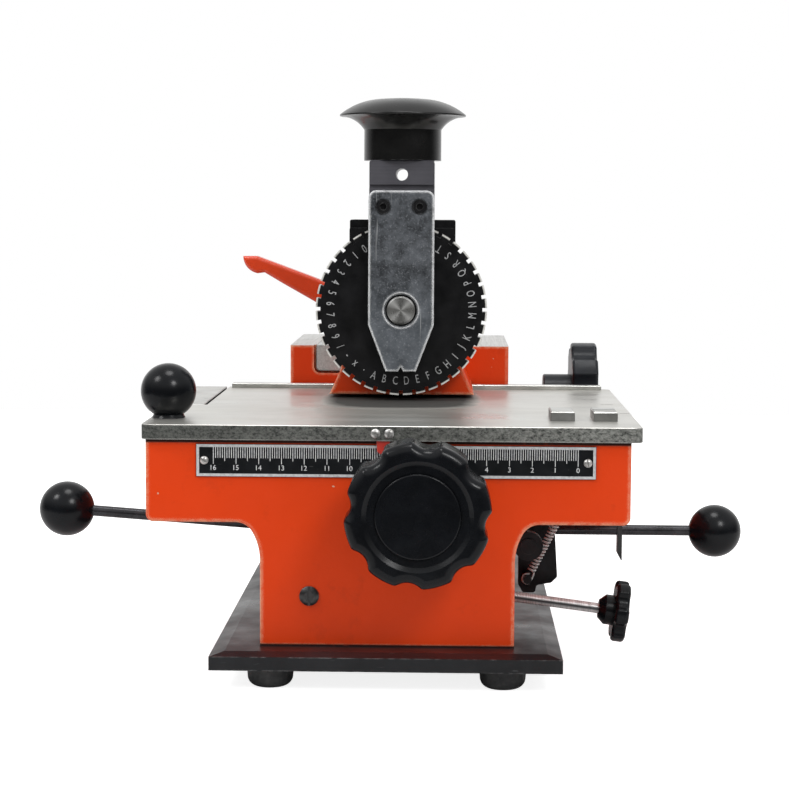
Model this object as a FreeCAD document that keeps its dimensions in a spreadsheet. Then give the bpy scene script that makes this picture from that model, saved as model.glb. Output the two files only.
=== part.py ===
import FreeCAD, Part
import math
import os
import Sketcher
from FreeCAD import Placement, Rotation, Vector

# Nameplate marking machine. Millimetres, +X right, +Y back, +Z up.
# The origin lies on the floor under the middle of the base plate.

# Driving sizes
SIZES = [
    ("foot_radius", 10.6, "rubber foot, radius"),
    ("foot_height", 9.6, "rubber foot, height"),
    ("foot_round", 4.5, "rubber foot, rounded lower edge"),
    ("foot_hole", 2.6, "rubber foot, radius of its bolt hole"),
    ("foot_inset_x", 25.7, "feet, from the base plate's sides"),
    ("foot_inset_y", 16.0, "feet, from the base plate's ends"),
    ("base_width", 154.0, "base plate, across"),
    ("base_depth", 325.0, "base plate, front to back"),
    ("base_thick", 7.4, "base plate, thickness"),
    ("base_bevel_wide", 6.4, "base plate, bevel measured flat"),
    ("base_bevel_drop", 1.3, "base plate, bevel measured down"),
    ("base_margin_front", 18.5, "base plate, how far it stands out in front"),
    ("base_margin_back", 9.5, "base plate, how far it stands out behind"),
    ("body_half", 56.3, "pedestal lower body, half width"),
    ("body_high", 54.8, "pedestal lower body, height up to the wings"),
    ("wing_half", 106.8, "pedestal wings, half width"),
    ("wing_high", 36.6, "pedestal wings, height"),
    ("wing_fillet", 10.7, "round under the wings, across"),
    ("fillet_high", 17.0, "round under the wings, height"),
    ("fillet_turn", 30.0, "round under the wings, turn of its long lower arc in degrees"),
    ("wing_corner", 3.4, "rounded lower corner of the wings"),
    ("front_round", 1.2, "rounded front edge of the pedestal"),
    ("front_wall", 8.0, "pedestal front wall"),
    ("side_wall", 6.2, "pedestal side walls and wing floor"),
    ("back_wall", 7.0, "pedestal back wall"),
    ("column_half", 58.15, "rear column, half width"),
    ("column_depth", 100.0, "rear column, front to back"),
    ("column_rise", 22.05, "rear column, how far it stands over the table"),
    ("column_wall", 8.0, "rear column, wall"),
    ("column_web", 31.0, "rear column, metal under the channel"),
    ("column_round", 1.5, "rear column, rounded corners"),
    ("channel_left", 44.3, "slide channel, left side from the middle"),
    ("channel_right", 24.8, "slide channel, right side from the middle"),
    ("channel_deep", 13.5, "slide channel, depth"),
    ("mouth_gap", 1.2, "slide channel, room round the bar at its front end"),
    ("mouth_deep", 6.0, "slide channel, depth of that room from the front"),
    ("bar_round", 2.0, "slide bar, rounded lower edges"),
    ("slide_play", 0.05, "play beside and under a slide"),
    ("head_gap", 0.3, "head bracket, gap to the column when it is back"),
    ("head_travel", 35.0, "head, travel to the front"),
    ("bar_length", 96.0, "slide bar, front to back"),
    ("table_gap", 0.35, "table, gap over the pedestal"),
    ("table_thick", 6.6, "table, thickness"),
    ("table_over_front", 3.0, "table, how far it stands out in front"),
    ("table_gap_back", 3.5, "table, gap to the column"),
    ("table_over_left", 1.7, "table, how far it stands out on the left"),
    ("table_over_right", 4.8, "table, how far it stands out on the right"),
    ("table_corner", 4.0, "table, rounded corners"),
    ("insert_wide", 16.8, "corner insert, across"),
    ("insert_long", 101.5, "corner insert, front to back"),
    ("insert_thick", 3.0, "corner insert, thickness"),
    ("insert_gap", 1.6, "gap round the corner insert"),
    ("fence_deep", 6.5, "back fence, front to back"),
    ("fence_high", 2.3, "back fence, height over the table"),
    ("fence_inset_left", 20.2, "back fence, from the table's left edge"),
    ("fence_inset_right", 4.8, "back fence, from the table's right edge"),
    ("block_wide", 10.8, "stop blocks, across"),
    ("block_deep", 22.0, "stop blocks, front to back"),
    ("block_high", 4.2, "stop blocks, height"),
    ("block_inset", 28.0, "stop blocks, from the table's front edge"),
    ("block_step", 19.2, "stop blocks, from one to the next"),
    ("block_right", 9.1, "stop blocks, from the table's right edge"),
    ("ball_radius", 12.5, "ball knobs, radius"),
    ("ball_inset_x", 8.2, "table ball, from the table's left edge"),
    ("ball_inset_y", 32.0, "table ball, from the table's front edge"),
    ("ball_stud", 3.0, "table ball, radius of its stud"),
    ("rod_radius", 6.0, "guide rods, radius"),
    ("rod_drop", 11.4, "guide rods, from the top of the pedestal"),
    ("rod_inset_front", 64.0, "front guide rod, from the front face"),
    ("rod_inset_back", 38.0, "back guide rod, from the pedestal's back"),
    ("bush_wall", 2.4, "saddle bushes, wall"),
    ("bush_long", 12.0, "saddle bushes, length"),
    ("fit_play", 0.05, "running clearance of shafts, on the radius"),
    ("saddle_left", 24.0, "saddle, left end from the middle"),
    ("saddle_right", 11.0, "saddle, right end from the middle"),
    ("saddle_cheek", 11.0, "saddle, metal under the rods' middle"),
    ("ruler_inset_left", 22.6, "ruler, from the left wing end"),
    ("ruler_inset_right", 15.5, "ruler, from the right wing end"),
    ("ruler_drop", 1.7, "ruler, from the top of the pedestal"),
    ("ruler_high", 14.4, "ruler, height"),
    ("ruler_thick", 0.8, "ruler, thickness"),
    ("ruler_screw_inset", 3.6, "ruler screws, from the ruler's ends"),
    ("trim_screw_head", 1.85, "ruler screws, head radius"),
    ("pointer_screw_head", 2.1, "pointer screws, head radius"),
    ("trim_screw", 1.0, "ruler and pointer screws, radius"),
    ("hand_x", 14.0, "hand knob axis, right of the middle"),
    ("hand_radius", 31.3, "hand knob, radius over the lobes"),
    ("hand_thick", 26.0, "hand knob, thickness"),
    ("hand_gap", 19.0, "hand knob, boss between it and the body"),
    ("hand_shaft_radius", 5.0, "hand knob shaft, radius"),
    ("hand_bush_wall", 3.0, "front bush, wall"),
    ("rack_inset", 19.0, "table rack, from the front face"),
    ("rack_wide", 10.0, "table rack, front to back"),
    ("rack_drop", 15.25, "table rack, pitch line under the table"),
    ("rack_pitch_radius", 12.0, "table pinion, pitch radius"),
    ("rack_teeth", 16.0, "table pinion, number of teeth"),
    ("slide_rack_wide", 10.0, "head rack, across"),
    ("slide_rack_drop", 3.6, "head rack, pitch line under the channel floor"),
    ("slide_pitch_radius", 11.0, "head pinion, pitch radius"),
    ("slide_teeth", 22.0, "head pinion, number of teeth"),
    ("ratchet_radius", 16.0, "ratchet wheel, radius"),
    ("ratchet_thick", 6.0, "ratchet wheel, thickness"),
    ("ratchet_teeth", 30.0, "ratchet wheel, number of teeth"),
    ("head_x", 2.8, "head axis, right of the middle"),
    ("type_lift", 2.85, "type wheel, gap over the table"),
    ("wheel_radius", 42.3, "type wheel, radius over the types"),
    ("wheel_reach", 79.0, "type wheel, front face ahead of the column"),
    ("wheel_thick", 9.0, "type wheel, thickness"),
    ("type_count", 40.0, "type wheel, number of types"),
    ("type_deep", 2.3, "type wheel, depth between the types"),
    ("type_gap", 2.1, "type wheel, width between the types"),
    ("axle_radius", 6.9, "wheel axle, radius"),
    ("ram_half", 15.9, "ram, half width"),
    ("ram_waist", 12.4, "ram, half width between the gib strips"),
    ("ram_slab", 16.0, "ram, thickness behind the wheel"),
    ("ram_head_high", 30.0, "ram, height of its head over the wheel"),
    ("ram_room", 3.2, "ram, gap over the head bracket"),
    ("ram_travel", 2.5, "ram, stroke"),
    ("plunger_rise", 13.0, "ram, index plunger over the wheel axis"),
    ("cross_hole", 3.0, "ram, cross hole radius"),
    ("cross_hole_drop", 7.0, "ram, cross hole under the top"),
    ("plate_half", 16.1, "front plate, half width"),
    ("plate_drop", 14.8, "front plate, under the ram's top"),
    ("plate_taper", 7.2, "front plate, start of its taper under the wheel axis"),
    ("plate_reach", 30.1, "front plate, tip under the wheel axis"),
    ("plate_tip_half", 7.4, "front plate, half width of its tip"),
    ("plate_thick", 4.0, "front plate, thickness"),
    ("plate_hole", 7.4, "front plate, hole round the axle"),
    ("plate_hole_bevel", 1.2, "front plate, bevel round that hole"),
    ("wheel_hub", 9.5, "type wheel, hub radius"),
    ("plate_gap", 4.0, "front plate, gap to the wheel"),
    ("mushroom_radius", 31.6, "mushroom knob, rim radius"),
    ("mushroom_neck", 19.1, "mushroom knob, collar radius"),
    ("mushroom_collar", 15.1, "mushroom knob, collar height"),
    ("mushroom_rim", 21.8, "mushroom knob, height of its rim"),
    ("mushroom_high", 30.7, "mushroom knob, height"),
    ("mushroom_flat", 13.0, "mushroom knob, radius of the flatter middle of its dome"),
    ("mushroom_crown", 137.0, "mushroom knob, arc radius of that middle"),
    ("guide_half", 26.5, "guide block, half width"),
    ("guide_over", 0.8, "guide block, how far it stands over the wheel's room"),
    ("guide_back_gap", 25.0, "guide block, back face ahead of the column"),
    ("guide_overlap", 8.0, "guide block, how far it takes in the ram's flanges"),
    ("guide_round", 0.9, "guide block, rounded top corners"),
    ("gib_thick", 4.0, "gib strips, thickness"),
    ("gib_step", 5.0, "head bracket, how far it stands ahead of the guide"),
    ("bracket_gap", 1.7, "head bracket, gap over the table"),
    ("bracket_step", 1.6, "head bracket, step of its underside over the back fence"),
    ("bracket_step_ahead", 3.0, "head bracket, start of that step ahead of the fence"),
    ("bracket_flare", 13.0, "head bracket, height of its flared foot"),
    ("bracket_over", 4.6, "head bracket, how far it stands over the column"),
    ("bracket_low_half", 36.3, "head bracket, half width of its foot"),
    ("bracket_half", 30.5, "head bracket, half width"),
    ("clamp_x", 32.0, "clamping lever axis, left of the middle"),
    ("clamp_inset", 42.0, "clamping lever axis, from the column's front"),
    ("clamp_hub", 9.5, "clamping lever, hub radius"),
    ("clamp_stud", 4.0, "clamping lever, stud radius"),
    ("rear_inset", 31.0, "rear star knob axis, from the column's front"),
    ("rear_knob_radius", 28.4, "rear star knob, radius over the lobes"),
    ("rear_knob_thick", 13.9, "rear star knob, thickness"),
    ("rear_hub_radius", 11.2, "rear star knob, hub radius"),
    ("rear_hub_long", 14.9, "rear star knob, hub length"),
    ("rear_shaft_radius", 4.0, "rear star knob shaft, radius"),
    ("rear_bush_wall", 2.0, "rear shaft bushes, wall"),
    ("lever_rod_radius", 2.5, "lever rods, radius"),
    ("release_inset", 37.0, "left lever, from the front face"),
    ("release_reach", 41.6, "left lever ball, from the left wing end"),
    ("release_ball_rise", 0.2, "left lever ball, over the wings' underside"),
    ("release_drop", 7.1, "left lever pivot, under the wings' underside"),
    ("release_pivot_inset", 5.1, "left lever pivot, from the side wall"),
    ("pin_radius", 3.0, "left lever pin, radius"),
    ("step_inset", 86.0, "right lever, from the front face"),
    ("step_reach", 47.8, "right lever ball, from the right wing end"),
    ("step_drop", 15.0, "right lever pivot, under the wings' underside"),
    ("step_off", 7.2, "right lever pivot, from the side wall"),
    ("rockshaft_radius", 3.6, "rockshaft, radius"),
    ("crank_inset", 67.0, "crank plate, from the front face"),
    ("crank_thick", 5.0, "crank plate, thickness"),
    ("crank_pin", 2.0, "crank pin and spring hanger pin, radius"),
    ("spring_inset", 56.0, "tension spring, from the front face"),
    ("spring_drop", 18.8, "tension spring, lower eye under the lever pivot"),
    ("spring_run", 15.0, "tension spring, from the lower to the upper eye across"),
    ("spring_rise", 30.0, "tension spring, from the lower to the upper eye up"),
    ("spring_radius", 1.7, "tension spring, radius of its wire line"),
    ("spring_wire", 0.4, "tension spring, wire radius"),
    ("spring_turns", 16.0, "tension spring, number of turns"),
    ("adjust_inset", 44.0, "adjusting screw, from the front face"),
    ("adjust_rise", 14.9, "adjusting screw, over the base plate at the wall"),
    ("adjust_tilt", 7.4, "adjusting screw, fall to the right in degrees"),
    ("adjust_radius", 2.4, "adjusting screw, radius"),
    ("adjust_reach", 40.4, "adjusting knob, hub from the wall"),
    ("adjust_knob_radius", 14.2, "adjusting knob, radius over the lobes"),
    ("return_radius", 4.0, "return spring, radius of its wire line"),
    ("return_wire", 0.6, "return spring, wire radius"),
    ("return_turns", 9.0, "return spring, number of turns"),
    ("return_length", 40.0, "return spring, length"),
    ("bolt_shank", 3.0, "base bolts, radius"),
    ("bolt_head", 5.0, "base bolts, head radius and height"),
    ("bolt_sink", 5.2, "base bolts, depth of the head's seat"),
    ("bolt_grip", 12.0, "base bolts, grip in the castings"),
]

doc = FreeCAD.newDocument("nameplate_marker")
sheet = doc.addObject("Spreadsheet::Sheet", "sizes")


class Size:
    """A length that keeps the sheet expression it was worked out with."""

    def __init__(self, value, text):
        self.value = value
        self.text = text

    def _join(self, sign, other, value):
        return Size(value, f"({self.text} {sign} {text_of(other)})")

    def __add__(self, other):
        return self._join("+", other, self.value + number(other))

    def __sub__(self, other):
        return self._join("-", other, self.value - number(other))

    def __mul__(self, other):
        return self._join("*", other, self.value * number(other))

    def __truediv__(self, other):
        return self._join("/", other, self.value / number(other))

    def __radd__(self, other):
        return Size(number(other) + self.value, f"({text_of(other)} + {self.text})")

    def __rsub__(self, other):
        return Size(number(other) - self.value, f"({text_of(other)} - {self.text})")

    def __rmul__(self, other):
        return Size(number(other) * self.value, f"({text_of(other)} * {self.text})")

    def __neg__(self):
        return Size(-self.value, f"(0 - {self.text})")


def number(item):
    """Plain number of a Size or a number."""
    return item.value if isinstance(item, Size) else float(item)


def text_of(item):
    """Expression text of a Size or a number."""
    return item.text if isinstance(item, Size) else f"({float(item)!r})"


class Sizes:
    """The sheet's cells, read by name."""


S = Sizes()
for row, (alias, value, note) in enumerate(SIZES, start=1):
    sheet.set(f"A{row}", note)
    sheet.set(f"B{row}", str(value))
    sheet.setAlias(f"B{row}", alias)
    setattr(S, alias, Size(value, f"sizes.{alias}"))
doc.recompute()

NODES = {}
TURN = {
    "z": Rotation(),
    "x": Rotation(Vector(0, 1, 0), 90),
    "y": Rotation(Vector(1, 0, 0), -90),
    "-y": Rotation(Vector(1, 0, 0), 90),
}


# Small helpers that bind sizes to the sheet

def bind(item, prop, size):
    """Set a property, and tie it to the sheet when the size comes from there."""
    if isinstance(size, Size):
        item.setExpression(prop, size.text)
    else:
        setattr(item, prop, size)


def place(item, at, rotation=None):
    """Put an item at a point, each coordinate tied to the sheet."""
    item.Placement = Placement(Vector(*(number(a) for a in at)), rotation or Rotation())
    for letter, value in zip("xyz", at):
        if isinstance(value, Size):
            item.setExpression(f"Placement.Base.{letter}", value.text)
    return item


def block(name, x, y, z):
    """Box between two values on each axis."""
    item = doc.addObject("Part::Box", name)
    bind(item, "Length", x[1] - x[0])
    bind(item, "Width", y[1] - y[0])
    bind(item, "Height", z[1] - z[0])
    return place(item, (x[0], y[0], z[0]))


def bar(name, radius, length, at, axis="z"):
    """Cylinder from a point along an axis."""
    item = doc.addObject("Part::Cylinder", name)
    bind(item, "Radius", radius)
    bind(item, "Height", length)
    rotation = TURN[axis] if isinstance(axis, str) else axis
    return place(item, at, rotation)


def cone(name, radius_low, radius_high, length, at, axis="z"):
    """Cone from a point along an axis."""
    item = doc.addObject("Part::Cone", name)
    bind(item, "Radius1", radius_low)
    bind(item, "Radius2", radius_high)
    bind(item, "Height", length)
    rotation = TURN[axis] if isinstance(axis, str) else axis
    return place(item, at, rotation)


def ball(name, radius, at):
    """Sphere at a point."""
    item = doc.addObject("Part::Sphere", name)
    bind(item, "Radius", radius)
    return place(item, at)


def fuse(name, items):
    """Join items into one solid."""
    item = doc.addObject("Part::MultiFuse", name)
    item.Shapes = items
    item.Refine = True
    return item


def group(name, items):
    """Keep like items as separate solids in one node."""
    item = doc.addObject("Part::Compound", name)
    item.Links = items
    return item


def cut(name, base, tools):
    """Take one or more tools away from a base."""
    item = doc.addObject("Part::Cut", name)
    item.Base = base
    item.Tool = tools[0] if len(tools) == 1 else group(name + "_tools", tools)
    item.Refine = True
    return item


def turned_about(item, at, axis, angle):
    """Turn an item about an axis through a point."""
    spin = Placement(Vector(0, 0, 0), Rotation(axis, angle), Vector(*(number(a) for a in at)))
    item.Placement = spin.multiply(item.Placement)
    return item


def edges_where(item, test):
    """Numbers of the edges whose middle point and direction pass a test."""
    doc.recompute()
    found = []
    for index, edge in enumerate(item.Shape.Edges, start=1):
        middle = edge.valueAt((edge.FirstParameter + edge.LastParameter) / 2)
        along = edge.tangentAt((edge.FirstParameter + edge.LastParameter) / 2)
        if test(middle, along, edge):
            found.append(index)
    return found


def rounded(name, base, radius, test):
    """Fillet the edges of a base that pass a test."""
    item = doc.addObject("Part::Fillet", name)
    item.Base = base
    item.Edges = [(index, number(radius), number(radius)) for index in edges_where(base, test)]
    return item


def bevelled(name, base, wide, test):
    """Chamfer the edges of a base that pass a test."""
    item = doc.addObject("Part::Chamfer", name)
    item.Base = base
    item.Edges = [(index, number(wide), number(wide)) for index in edges_where(base, test)]
    return item


def keep(label, item):
    """Name a finished sub-part."""
    item.Label = label
    NODES[label] = item
    return item


def new_body(name):
    return doc.addObject("PartDesign::Body", name)


def arc_between(start, end, radius):
    """Arc of under half a circle, its centre to the left of the way when radius is positive."""
    a = Vector(*start, 0)
    b = Vector(*end, 0)
    chord = b - a
    left = Vector(-chord.y, chord.x, 0).normalize()
    rise = math.sqrt(max(radius * radius - (chord.Length / 2) ** 2, 0.0))
    centre = (a + b) * 0.5 + left * (rise if radius > 0 else -rise)
    first = math.atan2(a.y - centre.y, a.x - centre.x)
    last = math.atan2(b.y - centre.y, b.x - centre.x)
    circle = Part.Circle(centre, Vector(0, 0, 1), abs(radius))
    if radius > 0:
        return Part.ArcOfCircle(circle, first, last)
    return Part.ArcOfCircle(circle, last, first)


def sketch_outline(body, name, plane, points):
    """Closed outline on an origin plane; a point with a third value starts an arc of that radius."""
    sketch = body.newObject("Sketcher::SketchObject", name)
    support = [f for f in body.Origin.OriginFeatures if f.Role == plane][0]
    sketch.AttachmentSupport = (support, [""])
    sketch.MapMode = "FlatFace"
    count = len(points)
    ends = []
    for i in range(count):
        here = (number(points[i][0]), number(points[i][1]))
        there = (number(points[(i + 1) % count][0]), number(points[(i + 1) % count][1]))
        if len(points[i]) == 3:
            radius = number(points[i][2])
            sketch.addGeometry(arc_between(here, there, radius))
            ends.append((1, 2) if radius > 0 else (2, 1))
        else:
            sketch.addGeometry(Part.LineSegment(Vector(*here, 0), Vector(*there, 0)))
            ends.append((1, 2))
    for i in range(count):
        after = (i + 1) % count
        sketch.addConstraint(Sketcher.Constraint("Coincident", i, ends[i][1], after, ends[after][0]))
    for i in range(count):
        for kind, value in (("DistanceX", points[i][0]), ("DistanceY", points[i][1])):
            rule = Sketcher.Constraint(kind, -1, 1, i, ends[i][0], number(value))
            index = sketch.addConstraint(rule)
            if isinstance(value, Size):
                sketch.setExpression(f"Constraints[{index}]", value.text)
        if len(points[i]) == 3:
            rule = Sketcher.Constraint("Radius", i, abs(number(points[i][2])))
            sketch.addConstraint(rule)
    return sketch


def prism(name, plane, points, start, depth):
    """Body: an outline on a plane, moved along the plane's axis to start, made depth long."""
    body = new_body(name)
    sketch = sketch_outline(body, name + "_outline", plane, points)
    pad = body.newObject("PartDesign::Pad", name + "_pad")
    pad.Profile = sketch
    bind(pad, "Length", depth)
    pad.Reversed = plane == "XZ_Plane"
    shift = {"XZ_Plane": (0, start, 0), "XY_Plane": (0, 0, start), "YZ_Plane": (start, 0, 0)}[plane]
    place(body, shift)
    return body


def turned(name, points, at, axis="z"):
    """Body: an outline of radius and height turned a full circle, set along an axis."""
    body = new_body(name)
    sketch = sketch_outline(body, name + "_outline", "XZ_Plane", points)
    revolution = body.newObject("PartDesign::Revolution", name + "_turn")
    revolution.Profile = sketch
    revolution.ReferenceAxis = (sketch, ["V_Axis"])
    revolution.Angle = 360
    place(body, at, TURN[axis] if isinstance(axis, str) else axis)
    return body


def ring(name, outer, inner, length, at, axis="z"):
    """Round bush."""
    skin = bar(name + "_skin", outer, length, at, axis)
    bore = bar(name + "_bore", inner, length, at, axis)
    return cut(name, skin, [bore])


def tooth(name, root_wide, tip_wide, reach, face):
    """One straight-sided tooth that points along its own Y, face wide along its own Z."""
    item = doc.addObject("Part::Wedge", name)
    item.Xmin = -root_wide / 2
    item.Xmax = root_wide / 2
    item.X2min = -tip_wide / 2
    item.X2max = tip_wide / 2
    item.Ymin = 0
    item.Ymax = reach
    item.Zmin = 0
    item.Zmax = face
    item.Z2min = 0
    item.Z2max = face
    return item


# Tooth proportions, in shares of the module: thin teeth leave the backlash of a hand-worked rack
TOOTH_ABOVE = 0.8
TOOTH_BELOW = 1.1
TOOTH_ROOT = 1.75
TOOTH_TIP = 0.75


def pinion(name, pitch_radius, count, face, at, axis, bore):
    """Spur pinion with a gap between two teeth at the top, and the shaft's bore."""
    teeth = int(number(count))
    module = 2 * number(pitch_radius) / teeth
    root = number(pitch_radius) - TOOTH_BELOW * module
    blank = bar(name + "_blank", root, face, (0, 0, 0))
    parts = [blank]
    reach = (TOOTH_ABOVE + TOOTH_BELOW) * module + 0.3
    for i in range(teeth):
        cog = tooth(f"{name}_tooth{i}", TOOTH_ROOT * module, TOOTH_TIP * module, reach, face)
        angle = 360 / teeth * (i + 0.5)
        turn = Rotation(Vector(0, 0, 1), angle)
        cog.Placement = Placement(turn.multVec(Vector(0, root - 0.3, 0)), turn)
        parts.append(cog)
    body = cut(name, fuse(name + "_teeth", parts), [bar(name + "_bore", bore, face, (0, 0, 0))])
    if axis == "y":
        # local Z goes to +Y and local Y to -Z, so a half turn brings a gap to the top again
        place(body, at, TURN["y"])
    else:
        # local Z goes to +X; a quarter turn about it brings local Y to +Z
        place(body, at, Rotation(Vector(1, 1, 1), 120))
    return body


def rack_teeth(name, pitch_radius, count, low, high, face):
    """Teeth of a rack along X that point down from Z = 0, one at X = 0, between two values."""
    module = 2 * number(pitch_radius) / int(number(count))
    pitch = math.pi * module
    teeth = []
    first = math.ceil(low / pitch)
    last = math.floor(high / pitch)
    for i in range(first, last + 1):
        cog = tooth(f"{name}_tooth{i - first}", TOOTH_ROOT * module, TOOTH_TIP * module,
                    (TOOTH_ABOVE + TOOTH_BELOW) * module + 0.3, face)
        # local Y goes to -Z and local Z to +Y
        cog.Placement = Placement(Vector(i * pitch, 0, 0.3), TURN["y"])
        teeth.append(cog)
    return teeth, module


# Heights, from the floor up
MIDDLE = Size(0.0, "(0.0)")
BASE_LOW = S.foot_height
BASE_TOP = BASE_LOW + S.base_thick
WING_LOW = BASE_TOP + S.body_high
WING_FLOOR = WING_LOW + S.side_wall
WING_TOP = WING_LOW + S.wing_high
RULER_HIGH = WING_TOP - S.ruler_drop
RULER_LOW = RULER_HIGH - S.ruler_high
RULER_MID = RULER_HIGH - S.ruler_high / 2
ROD_Z = WING_TOP - S.rod_drop
TABLE_LOW = WING_TOP + S.table_gap
TABLE_TOP = TABLE_LOW + S.table_thick
RACK_PITCH_Z = TABLE_LOW - S.rack_drop
HAND_Z = RACK_PITCH_Z - S.rack_pitch_radius
COLUMN_TOP = TABLE_TOP + S.column_rise
CHANNEL_FLOOR = COLUMN_TOP - S.channel_deep
REAR_Z = CHANNEL_FLOOR - S.slide_rack_drop - S.slide_pitch_radius
BRACKET_LOW = TABLE_TOP + S.bracket_gap
BRACKET_TOP = COLUMN_TOP + S.bracket_over
WHEEL_Z = TABLE_TOP + S.type_lift + S.wheel_radius
FORK_TOP = WHEEL_Z + S.wheel_radius + 1.0
GUIDE_TOP = FORK_TOP + S.guide_over
GIB_TOP = FORK_TOP - S.ram_travel - 0.7
RAM_LOW = BRACKET_TOP + S.ram_room
RAM_TOP = FORK_TOP + S.ram_head_high
PLATE_TOP = RAM_TOP - S.plate_drop
RETURN_LOW = BRACKET_TOP + 8.0
RETURN_HIGH = RETURN_LOW + S.return_length
RELEASE_Z = WING_LOW - S.release_drop
STEP_Z = WING_LOW - S.step_drop

# Depths, from the front face to the back
BASE_HALF_X = S.base_width / 2
BASE_HALF_Y = S.base_depth / 2
FOOT_X = BASE_HALF_X - S.foot_inset_x
FOOT_Y = BASE_HALF_Y - S.foot_inset_y
FRONT = S.base_margin_front - BASE_HALF_Y
COLUMN_BACK = BASE_HALF_Y - S.base_margin_back
BACK = COLUMN_BACK - S.column_depth
CAVITY_FRONT = FRONT + S.front_wall
CAVITY_BACK = BACK - S.back_wall
RACK_FRONT = FRONT + S.rack_inset
RACK_BACK = RACK_FRONT + S.rack_wide
RELEASE_Y = FRONT + S.release_inset
PAWL_FRONT = RELEASE_Y - S.ratchet_thick / 2
ROD_FRONT = FRONT + S.rod_inset_front
ROD_BACK = BACK - S.rod_inset_back
ADJUST_Y = FRONT + S.adjust_inset
SPRING_Y = FRONT + S.spring_inset
CRANK_FRONT = FRONT + S.crank_inset
STEP_Y = FRONT + S.step_inset
TABLE_FRONT = FRONT - S.table_over_front
TABLE_BACK = BACK - S.table_gap_back
HEAD_BACK = BACK - S.head_gap
WHEEL_FRONT = BACK - S.wheel_reach
WHEEL_BACK = WHEEL_FRONT + S.wheel_thick
RAM_FRONT = WHEEL_FRONT - S.plate_gap
PLATE_FRONT = RAM_FRONT - S.plate_thick
SLAB_FRONT = WHEEL_BACK + 3.0
RAM_BACK = SLAB_FRONT + S.ram_slab
INSERT_FRONT = TABLE_BACK - S.insert_long
GUIDE_FRONT = RAM_BACK - S.guide_overlap
GUIDE_BACK = BACK - S.guide_back_gap
BRACKET_FRONT = GUIDE_FRONT - S.gib_step
MUSHROOM_Y = (RAM_FRONT + RAM_BACK) / 2
CLAMP_Y = BACK + S.clamp_inset
REAR_Y = BACK + S.rear_inset

# Places across, from the middle
INNER_WING = S.wing_half - S.side_wall
INNER_BODY = S.body_half - S.side_wall
TABLE_LEFT = MIDDLE - S.wing_half - S.table_over_left
TABLE_RIGHT = S.wing_half + S.table_over_right
RULER_LEFT = S.ruler_inset_left - S.wing_half
RULER_RIGHT = S.wing_half - S.ruler_inset_right
BALL_X = TABLE_LEFT + S.ball_inset_x
RELEASE_X = S.release_pivot_inset - INNER_BODY
RELEASE_BALL_X = MIDDLE - S.wing_half - S.release_reach
STEP_X = S.body_half + S.step_off
STEP_BALL_X = S.wing_half + S.step_reach
SLIDE_RACK_LEFT = MIDDLE - 14.0
SLIDE_RACK_RIGHT = SLIDE_RACK_LEFT + S.slide_rack_wide


# Base plate with bevelled top edges

def make_base_plate():
    low = block("base_slab", (-BASE_HALF_X, BASE_HALF_X), (-BASE_HALF_Y, BASE_HALF_Y),
                (BASE_LOW, BASE_TOP - S.base_bevel_drop))
    crown = doc.addObject("Part::Wedge", "base_crown")
    bind(crown, "Xmax", S.base_width)
    bind(crown, "Zmax", S.base_depth)
    bind(crown, "Ymax", S.base_bevel_drop)
    bind(crown, "X2min", S.base_bevel_wide)
    bind(crown, "X2max", S.base_width - S.base_bevel_wide)
    bind(crown, "Z2min", S.base_bevel_wide)
    bind(crown, "Z2max", S.base_depth - S.base_bevel_wide)
    for prop in ("Xmin", "Ymin", "Zmin"):
        setattr(crown, prop, 0)
    place(crown, (-BASE_HALF_X, BASE_HALF_Y, BASE_TOP - S.base_bevel_drop), TURN["-y"])
    whole = fuse("base_whole", [low, crown])
    holes = []
    for i, (x, y) in enumerate(bolt_spots()):
        at = (x, y, BASE_LOW)
        holes.append(bar(f"base_bolt_hole{i}", S.bolt_shank, S.base_thick, at))
        holes.append(bar(f"base_bolt_sink{i}", S.bolt_head + 0.3, S.bolt_sink, at))
    for i, (x, y) in enumerate(foot_spots()):
        holes.append(bar(f"base_foot_hole{i}", S.foot_hole, 5.0, (x, y, BASE_LOW)))
    return keep("base_plate", cut("base_drilled", whole, holes))


def bolt_spots():
    """Bolts that hold the pedestal and the column on the base plate."""
    reach = S.body_half - 10.5
    spots = []
    for y in (FRONT + 64.0, BACK - 16.0, BACK + 16.0, COLUMN_BACK - 44.0):
        spots.append((-reach, y))
        spots.append((reach, y))
    return spots


def foot_spots():
    """Feet, each with a hole that a bench bolt can use."""
    return [(FOOT_X * sx, FOOT_Y * sy) for sx, sy in ((-1, -1), (1, -1), (-1, 1), (1, 1))]


def make_base_bolts():
    bolts = []
    for i, (x, y) in enumerate(bolt_spots()):
        head = bar(f"bolt_head{i}", S.bolt_head, S.bolt_head, (x, y, BASE_LOW + S.bolt_sink - S.bolt_head))
        shank = bar(f"bolt_shank{i}", S.bolt_shank, S.base_thick - S.bolt_sink + S.bolt_grip,
                    (x, y, BASE_LOW + S.bolt_sink))
        socket = bar(f"bolt_socket{i}", 2.2, 3.0, (x, y, BASE_LOW + S.bolt_sink - S.bolt_head))
        bolts.append(cut(f"bolt{i}", fuse(f"bolt_whole{i}", [head, shank]), [socket]))
    return keep("base_bolts", group("base_bolts", bolts))


def make_feet():
    feet = []
    r = S.foot_round
    for i, (x, y) in enumerate(foot_spots()):
        low = S.foot_radius - 0.5
        points = [(S.foot_hole, MIDDLE), (low - r, MIDDLE, r), (low, r),
                  (S.foot_radius, S.foot_height), (S.foot_hole, S.foot_height)]
        feet.append(turned(f"foot{i}", points, (x, y, MIDDLE)))
    return keep("rubber_feet", group("feet", feet))


# Pedestal casting: a T seen from the front, hollow, open at the top, with lugs for the bolts

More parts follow.
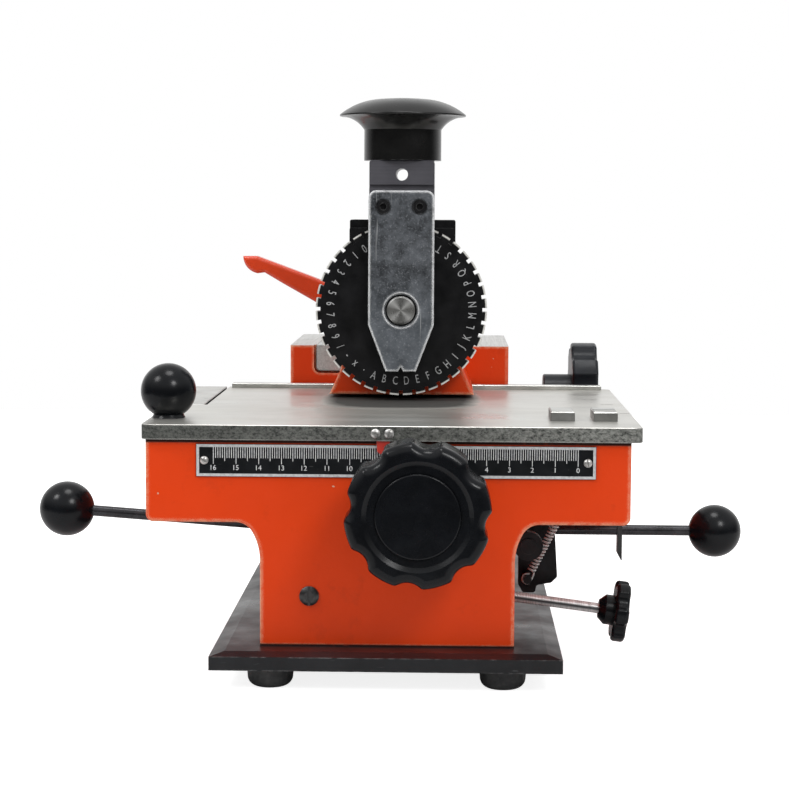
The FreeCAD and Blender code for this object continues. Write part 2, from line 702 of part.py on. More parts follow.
def make_pedestal():
    f = S.wing_fillet
    corner = S.wing_corner
    # The round under a wing is a long arc on the leg and a short one that runs into the wing
    c = math.cos(math.radians(number(S.fillet_turn)))
    s = math.sin(math.radians(number(S.fillet_turn)))
    long_arc = (f * (1 - s) - S.fillet_high * c) / (1 - c - s)
    short_arc = (S.fillet_high * (1 - c) - f * s) / (1 - c - s)
    joint_x = S.body_half + long_arc * (1 - c)
    joint_z = WING_LOW - short_arc * (1 - s)
    outer = [
        (-S.body_half, BASE_TOP), (S.body_half, BASE_TOP),
        (S.body_half, WING_LOW - S.fillet_high, -long_arc), (joint_x, joint_z, -short_arc),
        (S.body_half + f, WING_LOW),
        (S.wing_half - corner, WING_LOW, corner), (S.wing_half, WING_LOW + corner),
        (S.wing_half, WING_TOP), (-S.wing_half, WING_TOP),
        (-S.wing_half, WING_LOW + corner, corner), (-S.wing_half + corner, WING_LOW),
        (-S.body_half - f, WING_LOW, -short_arc), (-joint_x, joint_z, -long_arc),
        (-S.body_half, WING_LOW - S.fillet_high),
    ]
    shell = prism("pedestal_shell", "XZ_Plane", outer, FRONT, BACK - FRONT)
    inner = [
        (-INNER_BODY, BASE_TOP), (INNER_BODY, BASE_TOP), (INNER_BODY, WING_FLOOR),
        (INNER_WING, WING_FLOOR), (INNER_WING, WING_TOP), (-INNER_WING, WING_TOP),
        (-INNER_WING, WING_FLOOR), (-INNER_BODY, WING_FLOOR),
    ]
    hollow = prism("pedestal_hollow", "XZ_Plane", inner, CAVITY_FRONT, CAVITY_BACK - CAVITY_FRONT)
    lean = rounded("pedestal_edges", shell, S.front_round, lambda m, t, e: abs(m.y - number(FRONT)) < 0.01
                   and m.z > number(BASE_TOP) + 1 and m.z < number(WING_TOP) - 0.1)
    tools = [hollow]
    # Slots in the wing ends let the rack pass, and round holes take the guide rods
    tools.append(block("rack_slot", (-S.wing_half, S.wing_half), (RACK_FRONT - 1.6, RACK_BACK + 1.6),
                       (RACK_PITCH_Z - 3.5, WING_TOP)))
    for i, y in enumerate((ROD_FRONT, ROD_BACK)):
        tools.append(bar(f"rod_hole{i}", S.rod_radius, S.wing_half * 2, (-S.wing_half, y, ROD_Z), "x"))
    tools.append(bar("front_bush_hole", S.hand_shaft_radius + S.hand_bush_wall, S.front_wall,
                     (S.hand_x, FRONT, HAND_Z), "y"))
    tools.append(bar("slotted_hole", SLOT_SHANK, S.front_wall, (SLOT_X, FRONT, SLOT_Z), "y"))
    tools.append(bar("release_pin_hole", S.pin_radius, PIN_DEPTH,
                     (RELEASE_X, CAVITY_FRONT - PIN_DEPTH, RELEASE_Z), "y"))
    for i, x in enumerate((RULER_LEFT + S.ruler_screw_inset, RULER_RIGHT - S.ruler_screw_inset)):
        tools.append(bar(f"ruler_hole{i}", S.trim_screw, 5.0, (x, FRONT, RULER_MID), "y"))
    # Windows for the two levers and the hole of the adjusting screw
    tools.append(block("release_window", (-S.body_half - S.wing_fillet - 3.0, -INNER_BODY + 1.0),
                       (RELEASE_Y - 6.0, RELEASE_Y + 6.0), (RELEASE_Z - 6.5, WING_LOW)))
    tools.append(block("feed_window", (INNER_BODY - 1.0, S.body_half + S.wing_fillet + 7.0),
                       (PAWL_FRONT - 2.0, (PAWL_FRONT + S.ratchet_thick) + 2.0), (STEP_Z - 9.0, WING_LOW)))
    tools.append(bar("adjust_hole", S.adjust_radius + S.fit_play, 30.0, adjust_at(-16.0), ADJUST_TURN))
    lugs = []
    for i, (x, y) in enumerate(bolt_spots()[:4]):
        inward = x - 7.0 if number(x) > 0 else x - 9.0
        lugs.append(block(f"pedestal_lug{i}", (inward, inward + 16.0), (y - 9.0, y + 9.0),
                          (BASE_TOP, BASE_TOP + S.bolt_grip + 2.0)))
    body = fuse("pedestal_lugged", [cut("pedestal_cut", lean, tools)] + lugs)
    holes = []
    for i, (x, y) in enumerate(bolt_spots()[:4]):
        holes.append(bar(f"pedestal_bolt_hole{i}", S.bolt_shank, S.bolt_grip, (x, y, BASE_TOP)))
    return keep("pedestal", cut("pedestal_whole", body, holes))


# Slotted screw and adjusting screw
SLOT_X = -34.4
SLOT_Z = 39.4
SLOT_SHANK = 2.5
PIN_DEPTH = 4.0
ADJUST_TURN = Rotation(Vector(0, 1, 0), 90 + number(S.adjust_tilt))


def adjust_at(distance):
    """Point on the adjusting screw's line, measured along it from the side wall's face."""
    tilt = math.radians(number(S.adjust_tilt))
    return (S.body_half + distance * math.cos(tilt), ADJUST_Y,
            BASE_TOP + S.adjust_rise - distance * math.sin(tilt))


# Rear column with the channel for the slide bar

def make_column():
    solid = block("column_solid", (-S.column_half, S.column_half), (BACK, COLUMN_BACK),
                  (BASE_TOP, COLUMN_TOP))
    soft = rounded("column_edges", solid, S.column_round, lambda m, t, e: abs(t.z) > 0.9)
    web_low = CHANNEL_FLOOR - S.column_web
    gap = S.mouth_gap
    mouth = block("column_mouth", (-S.channel_left - gap, S.channel_right + gap), (BACK, BACK + S.mouth_deep),
                  (CHANNEL_FLOOR - gap, COLUMN_TOP))
    tools = [
        rounded("column_mouth_soft", mouth, S.bar_round + gap,
                lambda m, t, e: abs(t.y) > 0.9 and m.z < number(CHANNEL_FLOOR)),
        block("column_hollow", (-S.column_half + S.column_wall, S.column_half - S.column_wall),
              (BACK + S.column_wall, COLUMN_BACK - S.column_wall), (BASE_TOP, web_low)),
        block("column_channel", (-S.channel_left, S.channel_right), (BACK, COLUMN_BACK),
              (CHANNEL_FLOOR, COLUMN_TOP)),
        block("column_rack_groove", (SLIDE_RACK_LEFT - 1.0, SLIDE_RACK_RIGHT + 1.0), (BACK, COLUMN_BACK),
              (REAR_Z + S.slide_pitch_radius - 2.4, CHANNEL_FLOOR)),
        bar("column_pinion_room", S.slide_pitch_radius + 2.0, SLIDE_RACK_RIGHT - SLIDE_RACK_LEFT + 2.0,
            (SLIDE_RACK_LEFT - 1.0, REAR_Y, REAR_Z), "x"),
        bar("column_shaft_hole", S.rear_shaft_radius + S.rear_bush_wall,
            S.column_half - SLIDE_RACK_LEFT + 9.0, (SLIDE_RACK_LEFT - 9.0, REAR_Y, REAR_Z), "x"),
        bar("column_stud_hole", S.clamp_stud + S.fit_play, STUD_DEPTH,
            (-S.clamp_x, CLAMP_Y, CHANNEL_FLOOR - STUD_DEPTH)),
    ]
    lugs = []
    for i, (x, y) in enumerate(bolt_spots()[4:]):
        inward = x - 7.0 if number(x) > 0 else x - 9.0
        lugs.append(block(f"column_lug{i}", (inward, inward + 16.0), (y - 8.0, y + 8.0),
                          (BASE_TOP, BASE_TOP + S.bolt_grip + 2.0)))
    body = fuse("column_lugged", [cut("column_cut", soft, tools)] + lugs)
    holes = []
    for i, (x, y) in enumerate(bolt_spots()[4:]):
        holes.append(bar(f"column_bolt_hole{i}", S.bolt_shank, S.bolt_grip, (x, y, BASE_TOP)))
    return keep("rear_column", cut("column_whole", body, holes))


STUD_DEPTH = 14.0


# Ruler strip, its screws, and the slotted screw under it

def slotted_head(name, radius, high, at, slot_turn=0.0):
    """Low domed head that faces the front, with a slot."""
    points = [(MIDDLE, MIDDLE), (radius, 0.0), (radius, high * 0.4, radius * 1.2),
              (radius * 0.5, high), (0.0, high)]
    dome = turned(name + "_dome", points, at, "-y")
    x, y, z = (number(a) for a in at)
    slot = block(name + "_slot", (x - radius, x + radius), (y - high - 0.1, y - high * 0.45),
                 (z - radius * 0.13, z + radius * 0.13))
    turned_about(slot, at, Vector(0, 1, 0), slot_turn)
    return dome, slot


FLANGE_RIM = 7.0


def make_ruler():
    face = FRONT - S.ruler_thick
    strip = block("ruler_strip", (RULER_LEFT, RULER_RIGHT), (face, FRONT), (RULER_LOW, RULER_HIGH))
    holes = [bar("ruler_relief", S.hand_shaft_radius + FLANGE_RIM + 0.4, S.ruler_thick,
                 (S.hand_x, face, HAND_Z), "y")]
    screws = []
    for i, x in enumerate((RULER_LEFT + S.ruler_screw_inset, RULER_RIGHT - S.ruler_screw_inset)):
        holes.append(bar(f"ruler_clear{i}", S.trim_screw, S.ruler_thick, (x, face, RULER_MID), "y"))
        shank = bar(f"ruler_shank{i}", S.trim_screw, S.ruler_thick + 5.0, (x, face, RULER_MID), "y")
        dome, slot = slotted_head(f"ruler_screw{i}", number(S.trim_screw_head), 1.1,
                                  (x, face, RULER_MID), 30.0 + 50.0 * i)
        screws.append(cut(f"ruler_screw{i}", fuse(f"ruler_screw_whole{i}", [shank, dome]), [slot]))
    keep("ruler_plate", cut("ruler_drilled", strip, holes))
    keep("ruler_screws", group("ruler_screws", screws))


def make_slotted_screw():
    at = (SLOT_X, FRONT, SLOT_Z)
    shank = bar("slotted_shank", SLOT_SHANK, S.front_wall, at, "y")
    dome, slot = slotted_head("slotted", 4.35, 1.6, at, 90.0)
    return keep("slotted_screw", cut("slotted_screw", fuse("slotted_whole", [shank, dome]), [slot]))


def make_front_bush():
    at = (S.hand_x, FRONT - 2.0, HAND_Z)
    tube = bar("front_bush_tube", S.hand_shaft_radius + S.hand_bush_wall, S.front_wall + 8.0, at, "y")
    flange = bar("front_bush_flange", S.hand_shaft_radius + FLANGE_RIM, 2.0, at, "y")
    bore = bar("front_bush_bore", S.hand_shaft_radius + S.fit_play, S.front_wall + 8.0, at, "y")
    return keep("front_bush", cut("front_bush", fuse("front_bush_whole", [tube, flange]), [bore]))


# Guide rods that carry the table

def make_guide_rods():
    rods = []
    for i, y in enumerate((ROD_FRONT, ROD_BACK)):
        rods.append(bar(f"guide_rod{i}", S.rod_radius, S.wing_half * 2, (-S.wing_half, y, ROD_Z), "x"))
    return keep("guide_rods", group("guide_rods", rods))


# Table with its insert, fence, stop blocks, pointer and ball

def make_table():
    slab = block("table_slab", (TABLE_LEFT, TABLE_RIGHT), (TABLE_FRONT, TABLE_BACK),
                 (TABLE_LOW, TABLE_TOP))
    soft = rounded("table_corners", slab, S.table_corner, lambda m, t, e: abs(t.z) > 0.9)
    edged = bevelled("table_edges", soft, 0.2,
                     lambda m, t, e: m.z > number(TABLE_TOP) - 0.01)
    inset = block("table_inset", (TABLE_LEFT, TABLE_LEFT + S.insert_wide + S.insert_gap),
                  (INSERT_FRONT - S.insert_gap, TABLE_BACK), (TABLE_TOP - S.insert_thick, TABLE_TOP))
    holes = [inset]
    for i in range(2):
        x = POINTER_X[i]
        holes.append(bar(f"pointer_hole{i}", S.trim_screw, 6.0, (x, TABLE_FRONT, POINTER_Z), "y"))
    holes.append(block("pointer_slot", (-8.2, 3.6),
                       (TABLE_FRONT + POINTER_LIP - 0.05, TABLE_FRONT + POINTER_LIP + POINTER_THICK + 0.05),
                       (TABLE_LOW, TABLE_LOW + 5.2)))
    holes.append(bar("ball_stud_hole", S.ball_stud, S.table_thick, (BALL_X, BALL_Y, TABLE_LOW)))
    for i, (in_x, in_y) in enumerate(TABLE_MARKS):
        x = TABLE_RIGHT - in_x
        y = TABLE_FRONT + in_y
        holes.append(block(f"table_mark{i}", (x - 3.2, x + 3.2), (y - 0.55, y + 0.55),
                           (TABLE_TOP - 1.2, TABLE_TOP)))
    return keep("table_plate", cut("table_drilled", edged, holes))


POINTER_X = (-5.3, 0.7)
POINTER_Z = TABLE_LOW + 3.3
POINTER_LIP = 0.9
POINTER_THICK = 0.7
BALL_Y = TABLE_FRONT + S.ball_inset_y
BALL_Z = TABLE_TOP + S.ball_radius - 0.45
TABLE_MARKS = ((8.0, 109.0), (3.8, 65.0))


def make_corner_insert():
    pad = block("insert_pad", (TABLE_LEFT, TABLE_LEFT + S.insert_wide), (INSERT_FRONT, TABLE_BACK),
                (TABLE_TOP - S.insert_thick, TABLE_TOP))
    return keep("corner_insert", bevelled("insert_edges", pad, 0.3,
                                          lambda m, t, e: m.z > number(TABLE_TOP) - 0.01))


def make_back_fence():
    strip = block("fence_strip", (TABLE_LEFT + S.fence_inset_left, TABLE_RIGHT - S.fence_inset_right),
                  (TABLE_BACK - S.fence_deep, TABLE_BACK), (TABLE_TOP, TABLE_TOP + S.fence_high))
    return keep("back_fence", bevelled("fence_edges", strip, 0.4,
                                       lambda m, t, e: m.z > number(TABLE_TOP + S.fence_high) - 0.01))


def make_stop_blocks():
    blocks = []
    y = TABLE_FRONT + S.block_inset
    for i in range(2):
        x = TABLE_RIGHT - S.block_right - S.block_wide - S.block_step * (1 - i)
        low = block(f"stop_raw{i}", (x, x + S.block_wide), (y, y + S.block_deep),
                    (TABLE_TOP, TABLE_TOP + S.block_high))
        soft = bevelled(f"stop_soft{i}", low, 0.5,
                        lambda m, t, e: m.z > number(TABLE_TOP + S.block_high) - 0.01)
        cuts = []
        if i == 1:
            for k in range(2):
                slot_y = y + 5.0 + 6.5 * k
                cuts.append(block(f"stop_slot{k}", (x, x + S.block_wide), (slot_y, slot_y + 1.2),
                                  (TABLE_TOP + S.block_high - 1.5, TABLE_TOP + S.block_high)))
        blocks.append(cut(f"stop{i}", soft, cuts) if cuts else soft)
    return keep("stop_blocks", group("stop_blocks", blocks))


def make_pointer():
    # The blade hangs in a slot under the table, behind a lip at its front
    face = TABLE_FRONT + POINTER_LIP
    low = TABLE_LOW + 1.2
    points = [(-8.0, low), (-4.9, low), (-4.6, low - 5.8), (-3.1, low - 7.1), (-1.6, low - 5.8),
              (-1.5, low - 3.6), (1.0, low - 3.6), (1.0, low), (3.4, low), (3.4, low + 3.8),
              (-8.0, low + 3.8)]
    plate = prism("pointer_plate", "XZ_Plane", points, face, POINTER_THICK)
    holes = []
    screws = []
    for i, x in enumerate(POINTER_X):
        holes.append(bar(f"pointer_clear{i}", S.trim_screw, POINTER_THICK, (x, face, POINTER_Z), "y"))
        shank = bar(f"pointer_shank{i}", S.trim_screw, 6.0, (x, TABLE_FRONT, POINTER_Z), "y")
        dome, slot = slotted_head(f"pointer_screw{i}", number(S.pointer_screw_head), 1.1,
                                  (x, TABLE_FRONT, POINTER_Z), 20.0 + 90.0 * i)
        screws.append(cut(f"pointer_screw{i}", fuse(f"pointer_screw_whole{i}", [shank, dome]), [slot]))
    keep("pointer", cut("pointer_drilled", plate, holes))
    keep("pointer_screws", group("pointer_screws", screws))


def make_table_ball():
    sphere = ball("table_sphere", S.ball_radius, (BALL_X, BALL_Y, BALL_Z))
    neck = cone("table_neck", 7.6, 6.6, 1.9, (BALL_X, BALL_Y, TABLE_TOP))
    under = bar("table_ball_flat", S.ball_radius, 2.0, (BALL_X, BALL_Y, TABLE_TOP - 2.0))
    stud = bar("table_stud", S.ball_stud, S.table_thick, (BALL_X, BALL_Y, TABLE_LOW))
    knob = cut("table_knob", sphere, [under])
    return keep("table_ball", fuse("table_ball", [knob, neck, stud]))


def make_saddle():
    solid = block("saddle_solid", (-S.saddle_left, S.saddle_right), (ROD_FRONT - 12.0, ROD_BACK + 12.0),
                  (ROD_Z - S.saddle_cheek, TABLE_LOW))
    holes = []
    bushes = []
    outer = S.rod_radius + S.bush_wall
    for i, y in enumerate((ROD_FRONT, ROD_BACK)):
        at = (-S.saddle_left, y, ROD_Z)
        holes.append(bar(f"saddle_bore{i}", outer, S.saddle_left + S.saddle_right, at, "x"))
        for k, x in enumerate((-S.saddle_left, S.saddle_right - S.bush_long)):
            bushes.append(ring(f"saddle_bush{i}{k}", outer, S.rod_radius + S.fit_play, S.bush_long,
                               (x, y, ROD_Z), "x"))
    # Lightening pocket between the rods
    holes.append(block("saddle_pocket", (-S.saddle_left + 6.0, S.saddle_right - 6.0),
                       (ROD_FRONT + 16.0, ROD_BACK - 16.0), (ROD_Z - S.saddle_cheek, TABLE_LOW - 5.0)))
    keep("saddle", cut("saddle", solid, holes))
    keep("saddle_bushes", group("saddle_bushes", bushes))


def make_carriage_rack():
    left = number(RULER_LEFT) + 3.9
    right = number(RULER_RIGHT) + 5.3
    teeth, module = rack_teeth("carriage_rack", S.rack_pitch_radius, S.rack_teeth,
                               left - number(S.hand_x) + 1.0, right - number(S.hand_x) - 1.0,
                               number(RACK_BACK - RACK_FRONT))
    low = RACK_PITCH_Z + TOOTH_BELOW * module
    for cog in teeth:
        spot = cog.Placement.Base
        turn = cog.Placement.Rotation
        cog.Placement = Placement(spot + Vector(number(S.hand_x), number(RACK_FRONT), number(low)), turn)
    rail = block("rack_rail", (MIDDLE + left, MIDDLE + right), (RACK_FRONT, RACK_BACK), (low, TABLE_LOW))
    return keep("carriage_rack", fuse("carriage_rack", [rail] + teeth))


# Hand knob, its cap, shaft, pinion and ratchet wheel

HAND_FACE = FRONT - S.hand_gap - S.hand_thick
CAP_RADIUS = 18.2
CAP_HIGH = 2.2


def lobed_disc(name, radius, thick, lobes, hollow, hollow_deep, edge, corner, phase=0.0):
    """Disc with round hollows cut in its rim, along Z from Z = 0, its edges rounded."""
    disc = bar(name + "_disc", radius, thick, (0, 0, 0))
    tools = []
    for i in range(lobes):
        angle = math.radians(360 / lobes * i + phase)
        reach = number(radius) - hollow_deep + hollow
        at = (reach * math.cos(angle), reach * math.sin(angle), -1.0)
        tools.append(bar(f"{name}_hollow{i}", hollow, number(thick) + 2.0, at))
    raw = cut(name + "_raw", disc, tools)
    soft = rounded(name + "_soft", raw, corner, lambda m, t, e: abs(t.z) > 0.9)
    top = number(thick)
    return rounded(name, soft, edge, lambda m, t, e: (abs(m.z) < 0.01 or abs(m.z - top) < 0.01))


def make_hand_knob():
    disc = lobed_disc("hand_lobes", S.hand_radius, S.hand_thick, 8, 8.0, 2.7, 4.2, 2.8, 38.0)
    disc.Placement = Placement(Vector(0, 0, 0), Rotation())
    boss = bar("hand_boss", 13.0, S.hand_gap - 2.5, (MIDDLE, MIDDLE, -S.hand_gap + 2.5))
    # Shallow groove round the cap, its outer wall sloping up to the face
    face = S.hand_thick
    groove_points = [(CAP_RADIUS - 1.0, face - 1.3), (CAP_RADIUS + 3.4, face - 1.3),
                     (CAP_RADIUS + 5.4, face), (CAP_RADIUS - 1.0, face)]
    groove = turned("hand_groove", groove_points, (MIDDLE, MIDDLE, MIDDLE))
    seat = bar("hand_seat", CAP_RADIUS + 0.2, 2.0, (MIDDLE, MIDDLE, S.hand_thick - 2.0))
    bore = bar("hand_bore", S.hand_shaft_radius, S.hand_gap + S.hand_thick - 8.0,
               (MIDDLE, MIDDLE, -S.hand_gap))
    whole = cut("hand_knob", fuse("hand_whole", [disc, boss]), [groove, seat, bore])
    place(whole, (S.hand_x, FRONT - S.hand_gap, HAND_Z), TURN["-y"])
    keep("hand_knob", whole)
    cap_points = [(MIDDLE, MIDDLE), (CAP_RADIUS, 0.0), (CAP_RADIUS, CAP_HIGH - 0.8, 0.8),
                  (CAP_RADIUS - 0.8, CAP_HIGH), (0.0, CAP_HIGH)]
    cap = turned("hand_cap", cap_points, (S.hand_x, HAND_FACE + 2.0, HAND_Z), "-y")
    keep("knob_cap", cap)


def make_hand_shaft():
    start = HAND_FACE + 8.0
    shaft = bar("hand_shaft", S.hand_shaft_radius, SHAFT_END - start, (S.hand_x, start, HAND_Z), "y")
    keep("hand_shaft", shaft)
    wheel = pinion("carriage_pinion", S.rack_pitch_radius, S.rack_teeth, number(RACK_BACK - RACK_FRONT),
                   (S.hand_x, RACK_FRONT, HAND_Z), "y", S.hand_shaft_radius)
    keep("carriage_pinion", wheel)
    # Ratchet wheel: a disc with slanted notches
    disc = bar("ratchet_disc", S.ratchet_radius, 6.0, (0, 0, 0))
    tools = [bar("ratchet_bore", S.hand_shaft_radius, 6.0, (0, 0, 0))]
    for i in range(int(number(S.ratchet_teeth))):
        angle = 360 / number(S.ratchet_teeth) * i
        notch = tooth(f"ratchet_notch{i}", 0.9, 2.6, 2.2, 6.0)
        turn = Rotation(Vector(0, 0, 1), angle)
        lean = Rotation(Vector(0, 0, 1), angle + 18.0)
        notch.Placement = Placement(turn.multVec(Vector(0, number(S.ratchet_radius) - 2.0, 0)), lean)
        tools.append(notch)
    ratchet = cut("ratchet_wheel", disc, tools)
    place(ratchet, (S.hand_x, PAWL_FRONT, HAND_Z), TURN["y"])
    keep("ratchet_wheel", ratchet)


SHAFT_END = (PAWL_FRONT + S.ratchet_thick) + 5.0


# Slide bar with its rack, and the head bracket bolted to its front

def make_slide_bar():
    left = -S.channel_left + S.slide_play
    right = S.channel_right - S.slide_play
    raw = block("slide_raw", (left, right), (HEAD_BACK, HEAD_BACK + S.bar_length),
                (CHANNEL_FLOOR + S.slide_play, COLUMN_TOP))
    solid = rounded("slide_solid", raw, S.bar_round,
                    lambda m, t, e: abs(t.y) > 0.9 and m.z < number(CHANNEL_FLOOR) + 1)
    slot_front = CLAMP_Y - S.clamp_stud - 1.5
    slot_back = CLAMP_Y + S.head_travel + S.clamp_stud + 1.5
    slot = block("slide_slot", (-S.clamp_x - S.clamp_stud - 0.4, -S.clamp_x + S.clamp_stud + 0.4),
                 (slot_front, slot_back), (CHANNEL_FLOOR, COLUMN_TOP))
    keep("slide_bar", cut("slide_bar", solid, [slot]))
    # Rack under the bar, its teeth down, along Y
    low = number(HEAD_BACK) + 1.0
    high = number(HEAD_BACK) + number(S.bar_length) - 1.0
    face = number(SLIDE_RACK_RIGHT - SLIDE_RACK_LEFT)
    teeth, module = rack_teeth("slide_rack", S.slide_pitch_radius, S.slide_teeth,
                               low - number(REAR_Y) + 1.0, high - number(REAR_Y) - 1.0, face)
    root_z = REAR_Z + S.slide_pitch_radius + TOOTH_BELOW * module
    quarter = Rotation(Vector(0, 0, 1), 90)
    for cog in teeth:
        spot = quarter.multVec(cog.Placement.Base)
        shift = Vector(number(SLIDE_RACK_RIGHT), number(REAR_Y), number(root_z))
        cog.Placement = Placement(spot + shift, quarter.multiply(cog.Placement.Rotation))
    rail = block("slide_rail", (SLIDE_RACK_LEFT, SLIDE_RACK_RIGHT), (MIDDLE + low, MIDDLE + high),
                 (root_z, CHANNEL_FLOOR + S.slide_play))
    return keep("slide_rack", fuse("slide_rack", [rail] + teeth))


def make_head_bracket():
    x = S.head_x
    points = [
        (x - S.bracket_low_half, BRACKET_LOW), (x + S.bracket_low_half, BRACKET_LOW),
        (x + S.bracket_half, BRACKET_LOW + S.bracket_flare), (x + S.bracket_half, BRACKET_TOP),
        (x - S.bracket_half, BRACKET_TOP), (x - S.bracket_half, BRACKET_LOW + S.bracket_flare),
    ]
    solid = prism("bracket_solid", "XZ_Plane", points, BRACKET_FRONT, HEAD_BACK - BRACKET_FRONT)
    soft = rounded("bracket_soft", solid, 1.0,
                   lambda m, t, e: abs(m.y - number(BRACKET_FRONT)) < 0.01)
    # The underside steps up where it stands over the back fence
    over_fence = block("bracket_step_cut", (x - S.bracket_low_half, x + S.bracket_low_half),
                       (TABLE_BACK - S.fence_deep - S.bracket_step_ahead, HEAD_BACK),
                       (BRACKET_LOW, BRACKET_LOW + S.bracket_step))
    keep("head_bracket", cut("bracket_stepped", soft, [over_fence]))


def make_guide_block():
    x = S.head_x
    solid = block("guide_solid", (x - S.guide_half, x + S.guide_half), (GUIDE_FRONT, GUIDE_BACK),
                  (BRACKET_TOP, GUIDE_TOP))
    soft = rounded("guide_soft", solid, S.guide_round,
                   lambda m, t, e: abs(t.y) > 0.9 and m.z > number(GUIDE_TOP) - 0.1)
    channel = block("guide_channel", (x - S.ram_half - S.slide_play, x + S.ram_half + S.slide_play),
                    (GUIDE_FRONT, RAM_BACK + S.slide_play), (BRACKET_TOP, GUIDE_TOP))
    pocket = block("guide_pocket", (x - 6.5, x + 6.5), (RAM_BACK, RAM_BACK + POCKET_DEEP),
                   (RETURN_LOW, GUIDE_TOP))
    holes = [channel, pocket]
    for i, (gx, gz) in enumerate(gib_spots()):
        holes.append(bar(f"gib_hole{i}", 1.5, 8.0, (gx, GUIDE_FRONT, gz), "y"))
    keep("guide_block", cut("guide_block", soft, holes))
    # Gib strips hold the ram's flanges from the front
    strips = []
    screws = []
    face = GUIDE_FRONT - S.gib_thick
    for i, side in enumerate((-1, 1)):
        inner = x + side * (S.ram_waist + 0.3)
        outer = x + side * S.guide_half
        span = (outer, inner) if side < 0 else (inner, outer)
        strip = block(f"gib_raw{i}", span, (face, GUIDE_FRONT), (BRACKET_TOP, GIB_TOP))
        soft_strip = rounded(f"gib_soft{i}", strip, S.guide_round, lambda m, t, e: abs(t.y) > 0.9
                             and m.z > number(GIB_TOP) - 0.1
                             and abs(m.x - number(x)) > number(S.guide_half) - 1)
        clears = []
        for k, (gx, gz) in enumerate(gib_spots()):
            if (number(gx) - number(x)) * side > 0:
                clears.append(bar(f"gib_clear{k}", 1.5, S.gib_thick, (gx, face, gz), "y"))
        strips.append(cut(f"gib{i}", soft_strip, clears))
    for k, (gx, gz) in enumerate(gib_spots()):
        shank = bar(f"gib_shank{k}", 1.5, S.gib_thick + 8.0, (gx, face, gz), "y")
        head = bar(f"gib_head{k}", 2.6, 1.6, (gx, face - 1.6, gz), "y")
        socket = bar(f"gib_socket{k}", 1.3, 1.4, (gx, face - 1.6, gz), "y")
        screws.append(cut(f"gib_screw{k}", fuse(f"gib_screw_whole{k}", [shank, head]), [socket]))
    keep("gib_strips", group("gib_strips", strips))
    keep("gib_screws", group("gib_screws", screws))


POCKET_DEEP = 13.0


def gib_spots():
    """Screws of the gib strips."""
    reach = (S.guide_half + S.ram_half) / 2
    low = BRACKET_TOP + 8.0
    high = GIB_TOP - 6.0
    return [(S.head_x - reach, low), (S.head_x + reach, low),
            (S.head_x - reach, high), (S.head_x + reach, high)]


# Ram, its mushroom knob, front plate, axle, plunger and return spring

def make_ram():
    x = S.head_x
    top = block("ram_head", (x - S.ram_half, x + S.ram_half), (RAM_FRONT, RAM_BACK),
                (FORK_TOP, RAM_TOP))
    slab = block("ram_slab", (x - S.ram_waist, x + S.ram_waist), (SLAB_FRONT, RAM_BACK),
                 (RAM_LOW, FORK_TOP))
    flange = block("ram_flange", (x - S.ram_half, x + S.ram_half),
                   (GUIDE_FRONT + S.slide_play, RAM_BACK), (RAM_LOW, FORK_TOP))
    lug = block("ram_lug", (x - 5.0, x + 5.0), (RAM_BACK, RAM_BACK + 11.0),
                (RETURN_HIGH, RETURN_HIGH + 7.0))
    whole = fuse("ram_whole", [top, slab, flange, lug])
    tools = [
        bar("ram_cross_hole", S.cross_hole, RAM_BACK - RAM_FRONT,
            (x, RAM_FRONT, RAM_TOP - S.cross_hole_drop), "y"),
        block("ram_groove", (x - S.ram_half, x + S.ram_half), (RAM_FRONT, RAM_FRONT + 1.4),
              (PLATE_TOP + 1.2, PLATE_TOP + 2.8)),
        bar("ram_axle_hole", S.axle_radius, S.ram_slab, (x, SLAB_FRONT, WHEEL_Z), "y"),
        bar("ram_plunger_hole", 2.0, 10.0, (x, SLAB_FRONT, WHEEL_Z + S.plunger_rise), "y"),
        bar("ram_knob_hole", 5.0, 12.0, (x, MUSHROOM_Y, RAM_TOP - 12.0)),
    ]
    for i, px in enumerate(plate_screw_x()):
        tools.append(bar(f"ram_screw_hole{i}", 2.0, 9.0, (px, RAM_FRONT, PLATE_SCREW_Z), "y"))
    drilled = cut("ram_drilled", whole, tools)
    shoulders = rounded("ram_shoulders", drilled, 1.3, lambda m, t, e: abs(t.y) > 0.9
                        and m.z > number(RAM_TOP) - 0.01 and abs(m.x - number(x)) > number(S.ram_half) - 0.1)
    soft = bevelled("ram_soft", shoulders, 0.5, lambda m, t, e: abs(t.z) > 0.9 and e.Length > 8
                    and m.z > number(PLATE_TOP) + 3 and abs(m.x - number(x)) > number(S.ram_half) - 0.1)
    keep("ram_block", soft)


PLATE_SCREW_Z = PLATE_TOP - 7.9


def plate_screw_x():
    return (S.head_x - 8.9, S.head_x + 8.9)


